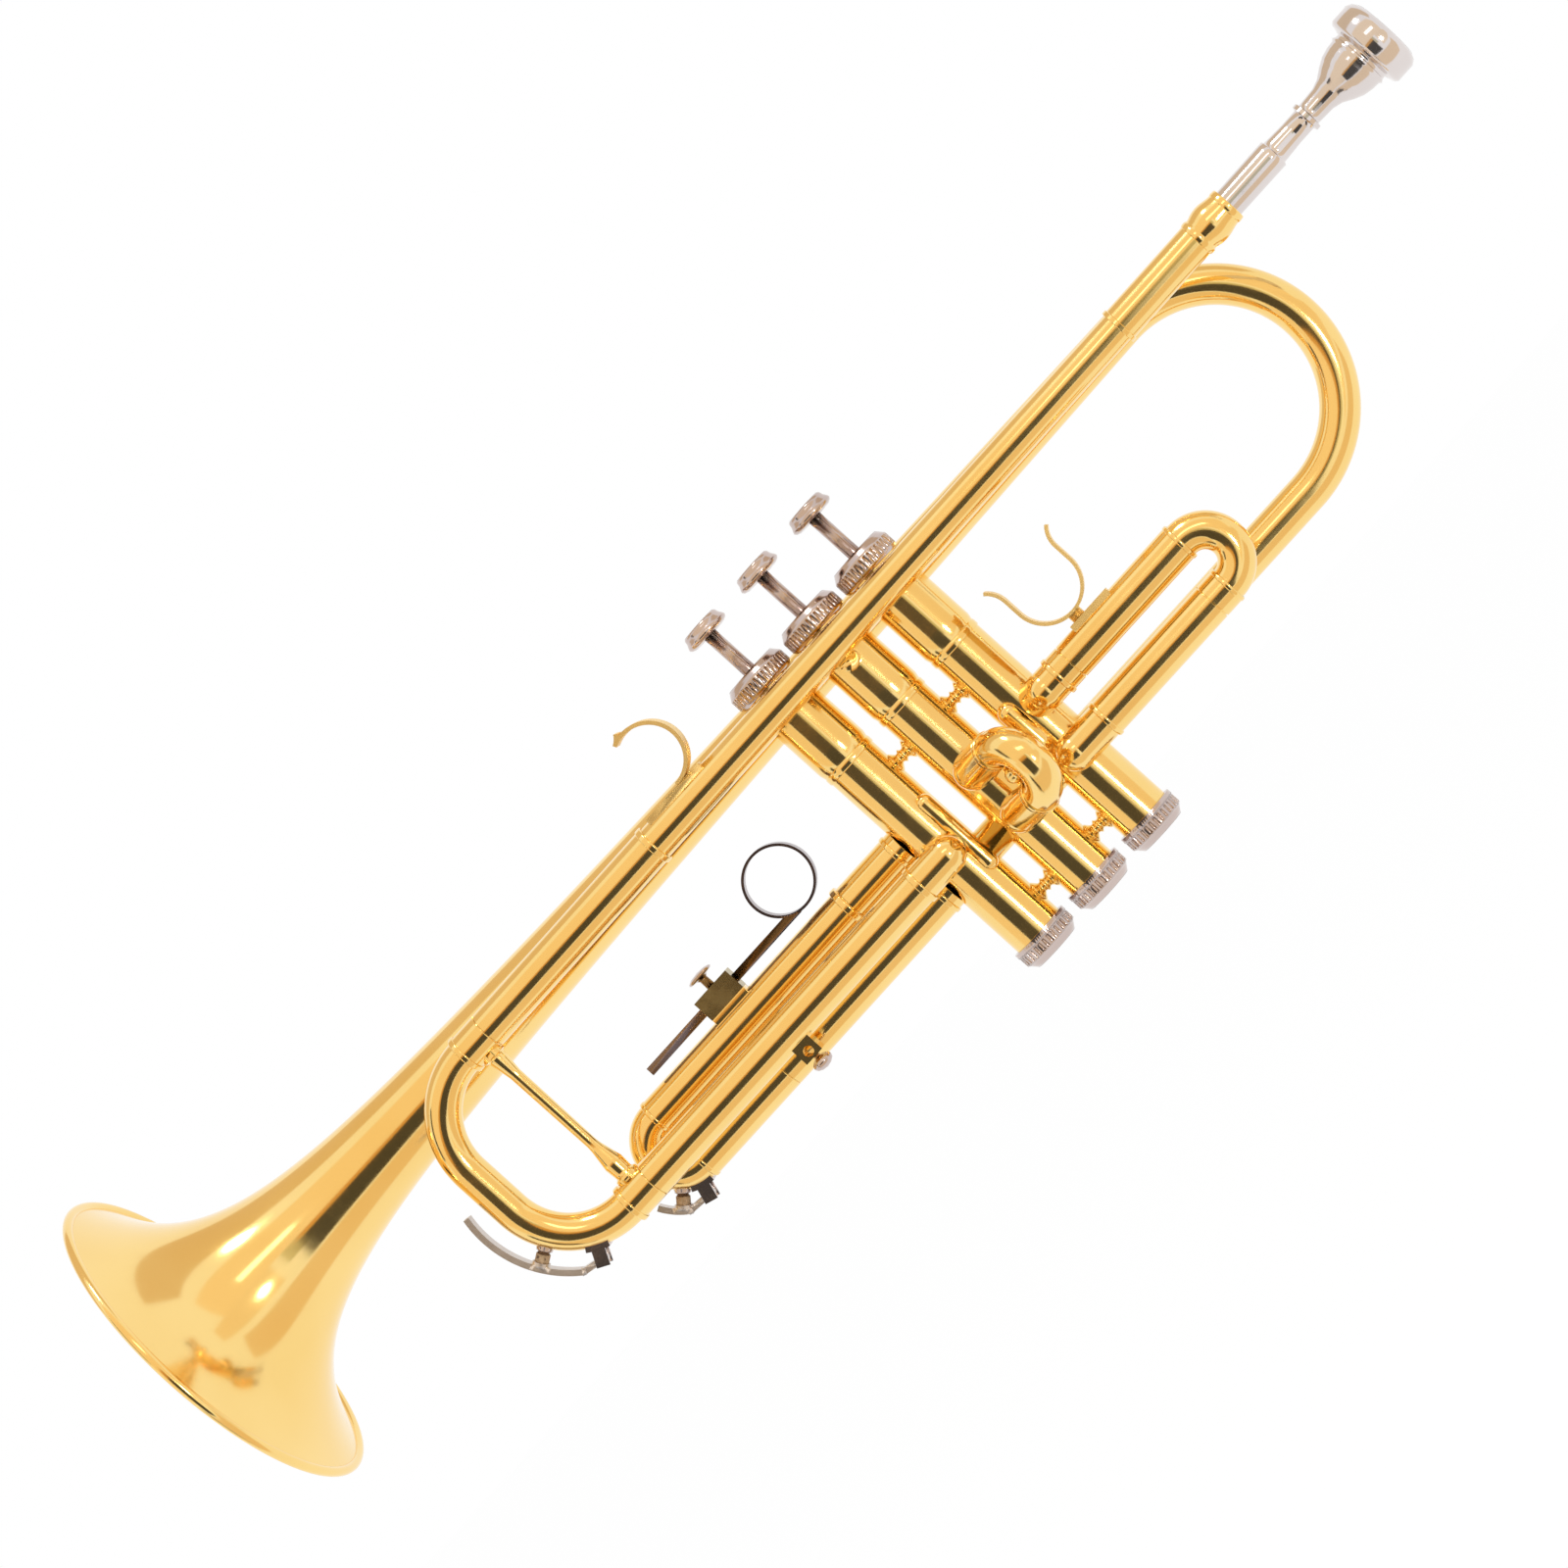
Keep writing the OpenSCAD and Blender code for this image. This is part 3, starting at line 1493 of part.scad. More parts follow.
// ---------------------------------------------------------------- all sub-parts

bell();
bell_rim_wire();
leadpipe();
mouthpiece_receiver();
tuning_upper_sleeve();
tuning_lower_sleeve();
third_fixed_tubes();
second_slide_sleeves();
first_fixed_tubes();
valve_crosstubes();
casing_posts();
leadpipe_braces();
finger_hook();
lyre_socket();
lyre_screw();
valve_casing(1);  // valve_casing_1
valve_casing(2);  // valve_casing_2
valve_casing(3);  // valve_casing_3
top_caps();
bottom_caps();
valve_guide(1);  // valve_guide_1
valve_guide(2);  // valve_guide_2
valve_guide(3);  // valve_guide_3
valve_spring(1);  // valve_spring_1
valve_spring(2);  // valve_spring_2
valve_spring(3);  // valve_spring_3
piston(1);  // piston_1
piston(2);  // piston_2
piston(3);  // piston_3
valve_stem(1);  // valve_stem_1
valve_stem(2);  // valve_stem_2
valve_stem(3);  // valve_stem_3
finger_button(1);  // finger_button_1
finger_button(2);  // finger_button_2
finger_button(3);  // finger_button_3
stem_felt(1);  // stem_felt_1
stem_felt(2);  // stem_felt_2
stem_felt(3);  // stem_felt_3
tuning_crook();
tuning_legs();
tuning_ferrules();
tuning_brace();
tuning_key_saddle();
tuning_key_lever();
tuning_key_cork();
third_crook();
third_moving_tubes();
ring_block();
ring_screw();
finger_ring();
third_key_saddle();
third_key_lever();
third_key_cork();
first_crook();
first_moving_tubes();
thumb_saddle();
second_crook();
second_slide_legs();
second_slide_knob();
mouthpiece();
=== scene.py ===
import json
import math

import bmesh
import bpy
from mathutils import Matrix, Vector


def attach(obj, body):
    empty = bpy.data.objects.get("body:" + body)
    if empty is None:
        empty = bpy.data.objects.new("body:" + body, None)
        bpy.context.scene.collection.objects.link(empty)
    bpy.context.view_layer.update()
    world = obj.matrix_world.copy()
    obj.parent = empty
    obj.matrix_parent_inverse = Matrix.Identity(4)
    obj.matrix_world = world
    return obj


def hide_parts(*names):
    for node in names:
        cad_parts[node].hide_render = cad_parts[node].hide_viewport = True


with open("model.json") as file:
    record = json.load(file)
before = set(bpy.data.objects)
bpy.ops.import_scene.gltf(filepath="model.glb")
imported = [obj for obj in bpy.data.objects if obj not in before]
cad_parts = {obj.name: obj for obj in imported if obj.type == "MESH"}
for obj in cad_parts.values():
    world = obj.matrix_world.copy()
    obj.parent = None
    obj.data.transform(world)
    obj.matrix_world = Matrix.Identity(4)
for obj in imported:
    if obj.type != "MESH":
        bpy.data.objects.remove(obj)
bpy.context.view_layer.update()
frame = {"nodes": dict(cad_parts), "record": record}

# Lengths below are in millimetres and are turned into metres where a mesh is made.
MM = 0.001

# The bell, as the part has it
BELL_AXIS = Vector((0, 18.7, 67.6))
RIM_X, RIM_R, TAIL_R, BELL_WALL = -304, 61.5, 6.5, 0.8
BOW_X, BOW_R = 132, 38.8
BEAD_R = 1.7
FIRST_VALVE_X, CASING_R = 24.5, 9.3

riding = {node: body for body, held in frame["record"]["behaviour"]["bodies"].items() for node in held}
slot_of = {sub["node"]: sub["material_slot"] for sub in frame["record"]["subparts"]}


# ---------------------------------------------------------------- finishes

class Level:
    """A number that varies over a surface; arithmetic on it adds Math nodes."""

    def __init__(self, finish, socket):
        self.finish = finish
        self.socket = socket

    def worked(self, operation, first, second):
        made = self.finish.node("ShaderNodeMath", {"operation": operation}, {0: first, 1: second})
        return Level(self.finish, made.outputs[0])

    def __add__(self, other):
        return self.worked("ADD", self, other)

    def __sub__(self, other):
        return self.worked("SUBTRACT", self, other)

    def __rsub__(self, other):
        return self.worked("SUBTRACT", other, self)

    def __mul__(self, other):
        return self.worked("MULTIPLY", self, other)

    def __pow__(self, other):
        return self.worked("POWER", self, other)

    __radd__ = __add__
    __rmul__ = __mul__


class Finish:
    """A new material, built node by node."""

    def __init__(self, name):
        self.material = bpy.data.materials.new(name)
        self.material.use_nodes = True
        self.tree = self.material.node_tree
        self.surface = self.tree.nodes["Principled BSDF"]
        self.place = self.node("ShaderNodeTexCoord").outputs["Object"]

    def node(self, kind, settings=None, sockets=None):
        made = self.tree.nodes.new(kind)
        for name, value in (settings or {}).items():
            if name == "stops":
                for stop, (at, colour) in zip(made.color_ramp.elements, value):
                    stop.position, stop.color = at, colour
            else:
                setattr(made, name, value)
        for name, value in (sockets or {}).items():
            self.feed(made.inputs[name], value)
        return made

    def feed(self, socket, value):
        if isinstance(value, Level):
            value = value.socket
        if isinstance(value, bpy.types.NodeSocket):
            self.tree.links.new(value, socket)
        else:
            socket.default_value = value

    def set(self, **values):
        for name, value in values.items():
            self.feed(self.surface.inputs[name.replace("_", " ")], value)

    def noise(self, scale, detail=2.0, stretch=(1, 1, 1), rough=0.5):
        place = self.place
        if stretch != (1, 1, 1):
            place = self.node("ShaderNodeMapping", None, {"Vector": place, "Scale": stretch}).outputs[0]
        made = self.node("ShaderNodeTexNoise", None,
                         {"Vector": place, "Scale": scale, "Detail": detail, "Roughness": rough})
        return Level(self, made.outputs["Fac"])

    def mask(self, level, low, high):
        """0 below low, 1 above high."""
        made = self.node("ShaderNodeMapRange", {"clamp": True},
                         {"Value": level, "From Min": low, "From Max": high})
        return Level(self, made.outputs[0])

    def mix(self, mask, first, second):
        made = self.node("ShaderNodeMix", {"data_type": "RGBA"}, {0: mask, 6: first, 7: second})
        return made.outputs[2]

    def bump(self, height, distance, strength=1.0):
        made = self.node("ShaderNodeBump", None,
                         {"Height": height, "Distance": distance, "Strength": strength})
        self.feed(self.surface.inputs["Normal"], made.outputs["Normal"])


def polished_metal(name, colour, deep, worn, gloss, haze, coat=0.0, ripple=4e-6, hairline=(1, 1, 1)):
    """Plated or lacquered metal: soft drift of tone, handling haze, hairlines and a slight ripple."""
    finish = Finish(name)
    drift = finish.mask(finish.noise(26, 2), 0.35, 0.7)
    haze_mask = finish.mask(finish.noise(95, 5, rough=0.62), 0.46, 0.72)
    fleck = finish.mask(finish.noise(900, 3, rough=0.7), 0.66, 0.74)
    hair = finish.noise(420, 4, stretch=hairline, rough=0.7)
    base = finish.mix(drift * 0.55, colour, deep)
    base = finish.mix(fleck * haze_mask * 0.5, base, worn)
    finish.set(Base_Color=base, Metallic=1.0, Roughness=haze_mask * haze + hair * 0.03 + gloss)
    if coat:
        finish.surface.inputs["Coat Weight"].default_value = coat
        finish.surface.inputs["Coat Roughness"].default_value = 0.04
        finish.surface.inputs["Coat IOR"].default_value = 1.45
    finish.bump(finish.noise(60, 2) + hair * 0.05 + fleck * -0.02, ripple)
    return finish.material


def felt_cloth(name, colour, deep):
    finish = Finish(name)
    fibre = finish.noise(1400, 6, rough=0.75)
    cloud = finish.mask(finish.noise(240, 3), 0.4, 0.65)
    finish.set(Base_Color=finish.mix(cloud, colour, deep), Roughness=fibre * 0.1 + 0.88)
    finish.surface.inputs["Sheen Weight"].default_value = 0.4
    finish.bump(fibre, 1.5e-4)
    return finish.material


def cork_disc(name):
    finish = Finish(name)
    cells = finish.node("ShaderNodeTexVoronoi", {"feature": "F1"}, {"Vector": finish.place, "Scale": 900.0})
    grain = Level(finish, cells.outputs["Distance"])
    pits = finish.mask(finish.noise(700, 3), 0.58, 0.66)
    colour = finish.mix(grain, (0.62, 0.42, 0.24, 1), (0.42, 0.27, 0.14, 1))
    finish.set(Base_Color=finish.mix(pits, colour, (0.16, 0.09, 0.05, 1)), Roughness=pits * 0.1 + 0.78)
    finish.bump(1 - pits * 0.8, 1e-4)
    return finish.material


def moulded_plastic(name, colour, deep):
    finish = Finish(name)
    drift = finish.noise(300, 3)
    finish.set(Base_Color=finish.mix(drift, colour, deep), Roughness=drift * 0.15 + 0.4)
    finish.bump(finish.noise(1500, 3), 2e-5)
    return finish.material


FINISHES = {
    "gold_lacquer": polished_metal("gold_lacquer", (0.98, 0.70, 0.26, 1), (0.93, 0.62, 0.19, 1),
                                   (0.80, 0.52, 0.25, 1), 0.10, 0.05, coat=0.35),
    "nickel_plate": polished_metal("nickel_plate", (0.63, 0.52, 0.48, 1), (0.50, 0.41, 0.38, 1),
                                   (0.40, 0.32, 0.28, 1), 0.12, 0.10),
    "silver_plate": polished_metal("silver_plate", (0.76, 0.70, 0.68, 1), (0.63, 0.57, 0.55, 1),
                                   (0.52, 0.46, 0.42, 1), 0.08, 0.05),
    "dark_nickel": polished_metal("dark_nickel", (0.27, 0.21, 0.22, 1), (0.19, 0.15, 0.15, 1),
                                  (0.60, 0.52, 0.50, 1), 0.16, 0.10),
    "old_brass": polished_metal("old_brass", (0.55, 0.43, 0.20, 1), (0.34, 0.26, 0.11, 1),
                                (0.75, 0.62, 0.34, 1), 0.24, 0.12),
    "steel_wire": polished_metal("steel_wire", (0.62, 0.62, 0.64, 1), (0.5, 0.5, 0.52, 1),
                                 (0.4, 0.38, 0.36, 1), 0.25, 0.10),
    "spring_steel": polished_metal("spring_steel", (0.60, 0.60, 0.62, 1), (0.48, 0.48, 0.50, 1),
                                   (0.4, 0.36, 0.34, 1), 0.22, 0.10),
    "satin_gold": polished_metal("satin_gold", (0.98, 0.72, 0.30, 1), (0.93, 0.64, 0.22, 1),
                                 (0.80, 0.52, 0.25, 1), 0.42, 0.08),
    "satin_nickel": polished_metal("satin_nickel", (0.72, 0.66, 0.62, 1), (0.60, 0.54, 0.50, 1),
                                   (0.40, 0.32, 0.28, 1), 0.40, 0.08),
    "guide_plastic": moulded_plastic("guide_plastic", (0.84, 0.80, 0.70, 1), (0.74, 0.69, 0.58, 1)),
    "felt": felt_cloth("felt", (0.86, 0.84, 0.78, 1), (0.74, 0.71, 0.64, 1)),
    "cork": cork_disc("cork"),
}

BRUSHED = {"thumb_saddle": "satin_gold", "finger_hook": "satin_gold", "tuning_key_lever": "satin_nickel",
           "third_key_lever": "satin_nickel"}


# ---------------------------------------------------------------- making pieces

def soften(mesh, crease):
    """Smooth shading that keeps edges sharper than the crease angle."""
    mesh.shade_smooth()
    mesh.set_sharp_from_angle(angle=math.radians(crease))


def add_piece(name, bm, node, crease=32):
    """A finished piece that stands for one CAD node and moves with its body."""
    bmesh.ops.remove_doubles(bm, verts=bm.verts, dist=2e-6)
    bmesh.ops.recalc_face_normals(bm, faces=bm.faces)
    mesh = bpy.data.meshes.new(name)
    bm.to_mesh(mesh)
    bm.free()
    soften(mesh, crease)
    mesh.materials.append(FINISHES[BRUSHED.get(node, slot_of[node])])
    piece = bpy.data.objects.new(name, mesh)
    bpy.context.scene.collection.objects.link(piece)
    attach(piece, riding[node])
    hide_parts(node)
    return piece


def polished(node, crease=32):
    """A merged and smoothed copy of a CAD node."""
    bm = bmesh.new()
    bm.from_mesh(frame["nodes"][node].data)
    return add_piece(node + "_polished", bm, node, crease)


def turn(bm, outline, centre, axis, angle=2 * math.pi, steps=128):
    """Spin a line of points round an axis through centre."""
    verts = [bm.verts.new(Vector(p) * MM) for p in outline]
    edges = [bm.edges.new(pair) for pair in zip(verts, verts[1:])]
    full = abs(angle - 2 * math.pi) < 1e-6
    bmesh.ops.spin(bm, geom=verts + edges, cent=Vector(centre) * MM, axis=axis, angle=angle,
                   steps=steps, use_merge=full, use_duplicate=False)


def ring_of_points(centre, radius, first, second, count=48):
    """A closed round of points in the plane of two directions."""
    centre, first, second = Vector(centre), Vector(first), Vector(second)
    return [centre + radius * (math.cos(a) * first + math.sin(a) * second)
            for a in (2 * math.pi * i / count for i in range(count + 1))]


def bell_radius(d):
    """Outer radius of the bell at the distance d from its rim."""
    length, flare = BOW_X - RIM_X, 40.5
    edge = (flare / (d + flare)) ** 2 - (flare / (length + flare)) ** 2
    return (TAIL_R + 4.5 * (1 - d / length)
            + (RIM_R - TAIL_R - 4.5) * edge / (1 - (flare / (length + flare)) ** 2))


def build_bell():
    """Flare and tail turned in one, with the rolled bead, the bow and the branch."""
    bm = bmesh.new()
    length = BOW_X - RIM_X
    along = [length * (i / 90) ** 2.1 for i in range(91)]
    outer = [(RIM_X + d, BELL_AXIS.y, BELL_AXIS.z + bell_radius(d)) for d in along]
    inner = [(x, y, z - BELL_WALL) for x, y, z in reversed(outer)]
    turn(bm, outer + inner + outer[:1], BELL_AXIS, (1, 0, 0), steps=160)
    bead = ring_of_points((RIM_X, BELL_AXIS.y, BELL_AXIS.z + RIM_R - BEAD_R / 2), BEAD_R,
                          (1, 0, 0), (0, 0, 1), 20)
    turn(bm, bead, BELL_AXIS, (1, 0, 0), steps=160)
    bow_start = ring_of_points((BOW_X, BELL_AXIS.y, BELL_AXIS.z), TAIL_R, (0, 1, 0), (0, 0, 1))
    turn(bm, bow_start, (BOW_X, BELL_AXIS.y, BELL_AXIS.z - BOW_R), (0, 1, 0), math.pi, 72)
    low = Vector((FIRST_VALVE_X, BELL_AXIS.y, BELL_AXIS.z - 2 * BOW_R))
    branch = bmesh.ops.create_cone(bm, cap_ends=False, segments=48, radius1=TAIL_R * MM,
                                   radius2=TAIL_R * MM, depth=(BOW_X - FIRST_VALVE_X) * MM)
    bmesh.ops.transform(bm, verts=branch["verts"], matrix=Matrix.Translation(
        Vector(((BOW_X + FIRST_VALVE_X) / 2, low.y, low.z)) * MM) @ Matrix.Rotation(math.pi / 2, 4, "Y"))
    bmesh.ops.create_uvsphere(bm, u_segments=48, v_segments=24, radius=(TAIL_R + 0.15) * MM,
                              matrix=Matrix.Translation(low * MM))
    reach = low.y - CASING_R + 2
    stub = bmesh.ops.create_cone(bm, cap_ends=False, segments=48, radius1=TAIL_R * MM,
                                 radius2=TAIL_R * MM, depth=reach * MM)
    bmesh.ops.transform(bm, verts=stub["verts"], matrix=Matrix.Translation(
        Vector((low.x, low.y - reach / 2, low.z)) * MM) @ Matrix.Rotation(math.pi / 2, 4, "X"))
    return add_piece("bell_turned", bm, "bell", 40)


# Axes of the tubes, as the part has them
LEADPIPE = (-16.4, 67.6)
LOWER_TUNING = (-16.4, -1.6)
LEG_Z = 9.8
FIRST_Y = -12
SECOND_AT, SECOND_ANGLE = (0.3, -12), math.radians(37 - 90)
SLEEVE, LEG, KNUCKLE, RING = 6.5, 6.0, 6.25, 7.0
VALVES = {1: 24.5, 2: 0, 3: -24.5}


def bar(bm, start, heading, outline, segments=72, cut=4.0):
    """Turn an outline of (distance, radius) points round the line from start towards heading."""
    fine = []
    for (d0, r0), (d1, r1) in zip(outline, outline[1:]):
        steps = max(1, round(abs(d1 - d0) / cut))
        fine += [(d0 + (d1 - d0) * i / steps, r0 + (r1 - r0) * i / steps) for i in range(steps)]
    fine.append(outline[-1])
    heading = Vector(heading).normalized()
    side = heading.orthogonal().normalized()
    turn(bm, [Vector(start) + heading * d + side * r for d, r in fine], start, heading, steps=segments)


def sleeve(bm, axis, x0, x1, r, bore):
    """A tube along X with eased ends."""
    ease = 0.12
    bar(bm, (x0, *axis), (1, 0, 0), [
        (0, bore), (0, r - ease), (ease, r), (x1 - x0 - ease, r), (x1 - x0, r - ease),
        (x1 - x0, bore), (0, bore)])


def ringlet(bm, axis, x0, x1, r, bore):
    """A raised ring with a rounded back."""
    w = x1 - x0
    ease = min(w * 0.4, (r - bore) * 0.8, 0.5)
    arc = [(ease * (1 - math.cos(a)), r - ease * (1 - math.sin(a)))
           for a in (math.pi / 2 * i / 5 for i in range(6))]
    outline = [(0, bore)] + arc + [(w - d, h) for d, h in reversed(arc)] + [(w, bore), (0, bore)]
    bar(bm, (x0, *axis), (1, 0, 0), outline)


def ball(bm, centre, r):
    bmesh.ops.create_uvsphere(bm, u_segments=56, v_segments=28, radius=r * MM,
                              matrix=Matrix.Translation(Vector(centre) * MM))


def stub(bm, start, towards, r):
    """A short closed bar that runs from a ball into a casing."""
    gap = Vector(towards) - Vector(start)
    bar(bm, start, gap, [(0, 0), (0, r), (gap.length - CASING_R + 1, r), (gap.length - CASING_R + 1, 0)])


def block(bm, low, high, ease):
    """A box between two corners with eased edges."""
    low, high = Vector(low), Vector(high)
    made = bmesh.ops.create_cube(bm, size=1)["verts"]
    bmesh.ops.transform(bm, verts=made, matrix=Matrix.Translation((low + high) / 2 * MM)
                        @ Matrix.Diagonal((*((high - low) * MM), 1)))
    edges = list({edge for vert in made for edge in vert.link_edges})
    bmesh.ops.bevel(bm, geom=edges, offset=ease * MM, affect="EDGES", segments=3, profile=0.5, material=-1)


def build_leadpipe():
    bm = bmesh.new()
    bar(bm, (-90, *LEADPIPE), (1, 0, 0), [(0, 5.55), (0, 6.05), (12, 6.05), (234.5, 5.3), (234.5, 4.4), (0, 5.55)])
    add_piece("leadpipe_drawn", bm, "leadpipe")


def build_receiver():
    bm = bmesh.new()
    bar(bm, (130.5, *LEADPIPE), (1, 0, 0), [
        (0, 5.36), (0, 6.3), (0.15, 6.4), (1.45, 6.4), (1.6, 6.25), (1.7, 5.9), (35.2, 5.9), (35.35, 6.15),
        (36, 6.35), (36.8, 6.4), (37.2, 6.25), (37.8, 5.95), (38.7, 6.15), (39.8, 6.5), (41, 6.72),
        (42.3, 6.8), (43.6, 6.72), (44.8, 6.5), (46.4, 6.15), (47.8, 5.95), (48.1, 6.15), (48.6, 6.2),
        (49.6, 6.15), (50.1, 6.0), (50.2, 5.9), (50.2, 5.05), (24.2, 4.55), (23.2, 4.4), (14, 4.4), (14, 5.3),
        (0, 5.36)], cut=1.5)
    add_piece("receiver_turned", bm, "mouthpiece_receiver")


def build_tuning_tubes():
    bm = bmesh.new()
    sleeve(bm, LEADPIPE, -161.2, -82, SLEEVE, 6.05)
    ringlet(bm, LEADPIPE, -84.2, -82, RING, 6.4)
    add_piece("tuning_upper_sleeve_drawn", bm, "tuning_upper_sleeve")
    bm = bmesh.new()
    elbow = (VALVES[3], *LOWER_TUNING)
    sleeve(bm, LOWER_TUNING, -161.2, -35.5, SLEEVE, 6.05)
    ringlet(bm, LOWER_TUNING, -37.7, -35.5, RING, 6.4)
    bar(bm, elbow, (-1, 0, 0), [(0, 0), (0, KNUCKLE), (11, KNUCKLE), (11, 5.55)])
    ball(bm, elbow, KNUCKLE + 0.15)
    stub(bm, elbow, (VALVES[3], 0, LOWER_TUNING[1]), KNUCKLE)
    add_piece("tuning_lower_sleeve_drawn", bm, "tuning_lower_sleeve")
    legs, ferrules = bmesh.new(), bmesh.new()
    for axis in (LEADPIPE, LOWER_TUNING):
        sleeve(legs, axis, -172.5, -100, LEG, 5.55)
        sleeve(ferrules, axis, -170.8, -161.5, SLEEVE, 6.0)
        ringlet(ferrules, axis, -172.5, -170.5, RING, 6.0)
    add_piece("tuning_legs_drawn", legs, "tuning_legs")
    add_piece("tuning_ferrules_turned", ferrules, "tuning_ferrules")


def build_third_tubes():
    upper, lower = (0, LEG_Z), (0, -LEG_Z)
    bm = bmesh.new()
    sleeve(bm, upper, -134, -40, LEG, 5.55)
    sleeve(bm, upper, -57.2, -33, SLEEVE, 5.55)
    sleeve(bm, lower, -110, -33, SLEEVE, 6.05)
    for axis in (upper, lower):
        ringlet(bm, axis, -37.2, -35.4, RING, 6.4)
    add_piece("third_fixed_tubes_drawn", bm, "third_fixed_tubes")
    bm = bmesh.new()
    sleeve(bm, upper, -150, -57.5, SLEEVE, 6.05)
    ringlet(bm, upper, -59.9, -57.5, 7.5, 6.4)
    sleeve(bm, lower, -150, -110.3, SLEEVE, 5.95)
    sleeve(bm, lower, -150, -67, LEG, 5.55)
    for axis in (upper, lower):
        ringlet(bm, axis, -150, -148.4, 6.8, 6.0)
    block(bm, (-114.9, -4.5, 13.8), (-98.3, 4.5, 15.2), 0.25)
    block(bm, (-113.9, -4, 14), (-99.3, 4, 17.5), 0.2)
    add_piece("third_moving_tubes_drawn", bm, "third_moving_tubes")


def build_first_tubes():
    bm = bmesh.new()
    upper, lower = (33.7, FIRST_Y, LEG_Z), (26, FIRST_Y, -LEG_Z)
    for elbow, ends, inner, outer in ((upper, 44.2, 86, 45.2), (lower, 39.7, 56, 87.8)):
        axis = elbow[1:]
        ball(bm, elbow, KNUCKLE + 0.15)
        stub(bm, elbow, (VALVES[1], 0, elbow[2]), KNUCKLE)
        bar(bm, elbow, (1, 0, 0), [(0, 0), (0, KNUCKLE), (ends - elbow[0], KNUCKLE), (ends - elbow[0], 5.55)])
        sleeve(bm, axis, 38.7, outer, SLEEVE, 6.05)
        ringlet(bm, axis, 38.7, 40.5, RING, 6.2)
    sleeve(bm, upper[1:], 40, 86, LEG, 5.55)
    add_piece("first_fixed_tubes_drawn", bm, "first_fixed_tubes")
    bm = bmesh.new()
    sleeve(bm, upper[1:], 45.5, 95.5, SLEEVE, 6.05)
    sleeve(bm, lower[1:], 88.1, 95.5, SLEEVE, 5.95)
    sleeve(bm, lower[1:], 57, 95.5, LEG, 5.55)
    for elbow in (upper, lower):
        ringlet(bm, elbow[1:], 93.9, 95.5, 6.8, 6.0)
    add_piece("first_moving_tubes_drawn", bm, "first_moving_tubes")


def build_second_tubes():
    heading = (math.cos(SECOND_ANGLE), math.sin(SECOND_ANGLE), 0)
    fixed, moving = bmesh.new(), bmesh.new()
    for z in (LEG_Z, -LEG_Z):
        elbow = (*SECOND_AT, z)
        ball(fixed, elbow, KNUCKLE + 0.15)
        stub(fixed, elbow, (VALVES[2], 0, z), KNUCKLE)
        bar(fixed, elbow, heading, [(0, 0), (0, KNUCKLE), (7.5, KNUCKLE), (7.5, 5.55)])
        bar(fixed, elbow, heading, [(6.5, 6.05), (6.5, 6.4), (6.6, 6.5), (14.88, 6.5), (15, 6.38), (15, 6.05),
                                    (6.5, 6.05)])
        bar(moving, elbow, heading, [(8, 5.55), (8, 6), (16.3, 6), (16.3, 5.55), (8, 5.55)])
        bar(moving, elbow, heading, [(15.3, 5.9), (15.3, 6.3), (15.5, 6.5), (16.5, 6.5), (16.7, 6.3), (16.7, 5.9),
                                     (15.3, 5.9)])
    add_piece("second_slide_sleeves_drawn", fixed, "second_slide_sleeves")
    add_piece("second_slide_legs_drawn", moving, "second_slide_legs")


def build_casings():
    """Turned casings: a long lower part, the bead, and the wider upper part."""
    for valve, x in VALVES.items():
        bm = bmesh.new()
        bar(bm, (x, 0, -45), (0, 0, 1), [
            (0, 8.43), (0, 9.3), (83.8, 9.3), (83.9, 9.55), (84.3, 9.7), (85.9, 9.7), (86.3, 9.55),
            (86.5, 9.45), (88.4, 9.9), (124.9, 9.9), (125, 9.8), (125, 9.2), (88.4, 9.2), (85, 8.43), (0, 8.43)],
            segments=96)
        add_piece("valve_casing_%d_turned" % valve, bm, "valve_casing_%d" % valve)


build_bell()
build_leadpipe()
build_receiver()
build_tuning_tubes()
build_third_tubes()
build_first_tubes()
build_second_tubes()
build_casings()

KEEPS_ITS_MESH = {"valve_guide", "valve_spring", "stem_felt"}
MADE_ANEW = {
    "bell", "leadpipe", "mouthpiece_receiver", "tuning_upper_sleeve", "tuning_lower_sleeve", "tuning_legs",
    "tuning_ferrules", "third_fixed_tubes", "third_moving_tubes", "first_fixed_tubes", "first_moving_tubes",
    "second_slide_sleeves", "second_slide_legs", "valve_casing_1", "valve_casing_2", "valve_casing_3"}
for node in slot_of:
    if node in MADE_ANEW:
        continue
    if node.rstrip("_123") in KEEPS_ITS_MESH:
        shown = frame["nodes"][node]
        shown.data.materials.clear()
        shown.data.materials.append(FINISHES[slot_of[node]])
    else:
        polished(node)


# ---------------------------------------------------------------- studio

def plain(name, colour, strength):
    """An evenly glowing surface for a card or a backdrop."""
    made = bpy.data.materials.new(name)
    made.use_nodes = True
    nodes = made.node_tree.nodes
    nodes.clear()
    glow = nodes.new("ShaderNodeEmission")
    glow.inputs["Color"].default_value = (*colour, 1)
    glow.inputs["Strength"].default_value = strength
    out = nodes.new("ShaderNodeOutputMaterial")
    made.node_tree.links.new(glow.outputs[0], out.inputs["Surface"])
    return made


def card(name, corners, colour, strength):
    """A card that only shows in the shine of the metal."""
    bm = bmesh.new()
    bm.faces.new([bm.verts.new(c) for c in corners])
    mesh = bpy.data.meshes.new(name)
    bm.to_mesh(mesh)
    bm.free()
    mesh.materials.append(plain(name, colour, strength))
    made = bpy.data.objects.new(name, mesh)
    bpy.context.scene.collection.objects.link(made)
    made.visible_camera = made.visible_diffuse = made.visible_shadow = False
    made.visible_transmission = made.visible_volume_scatter = False
    return made


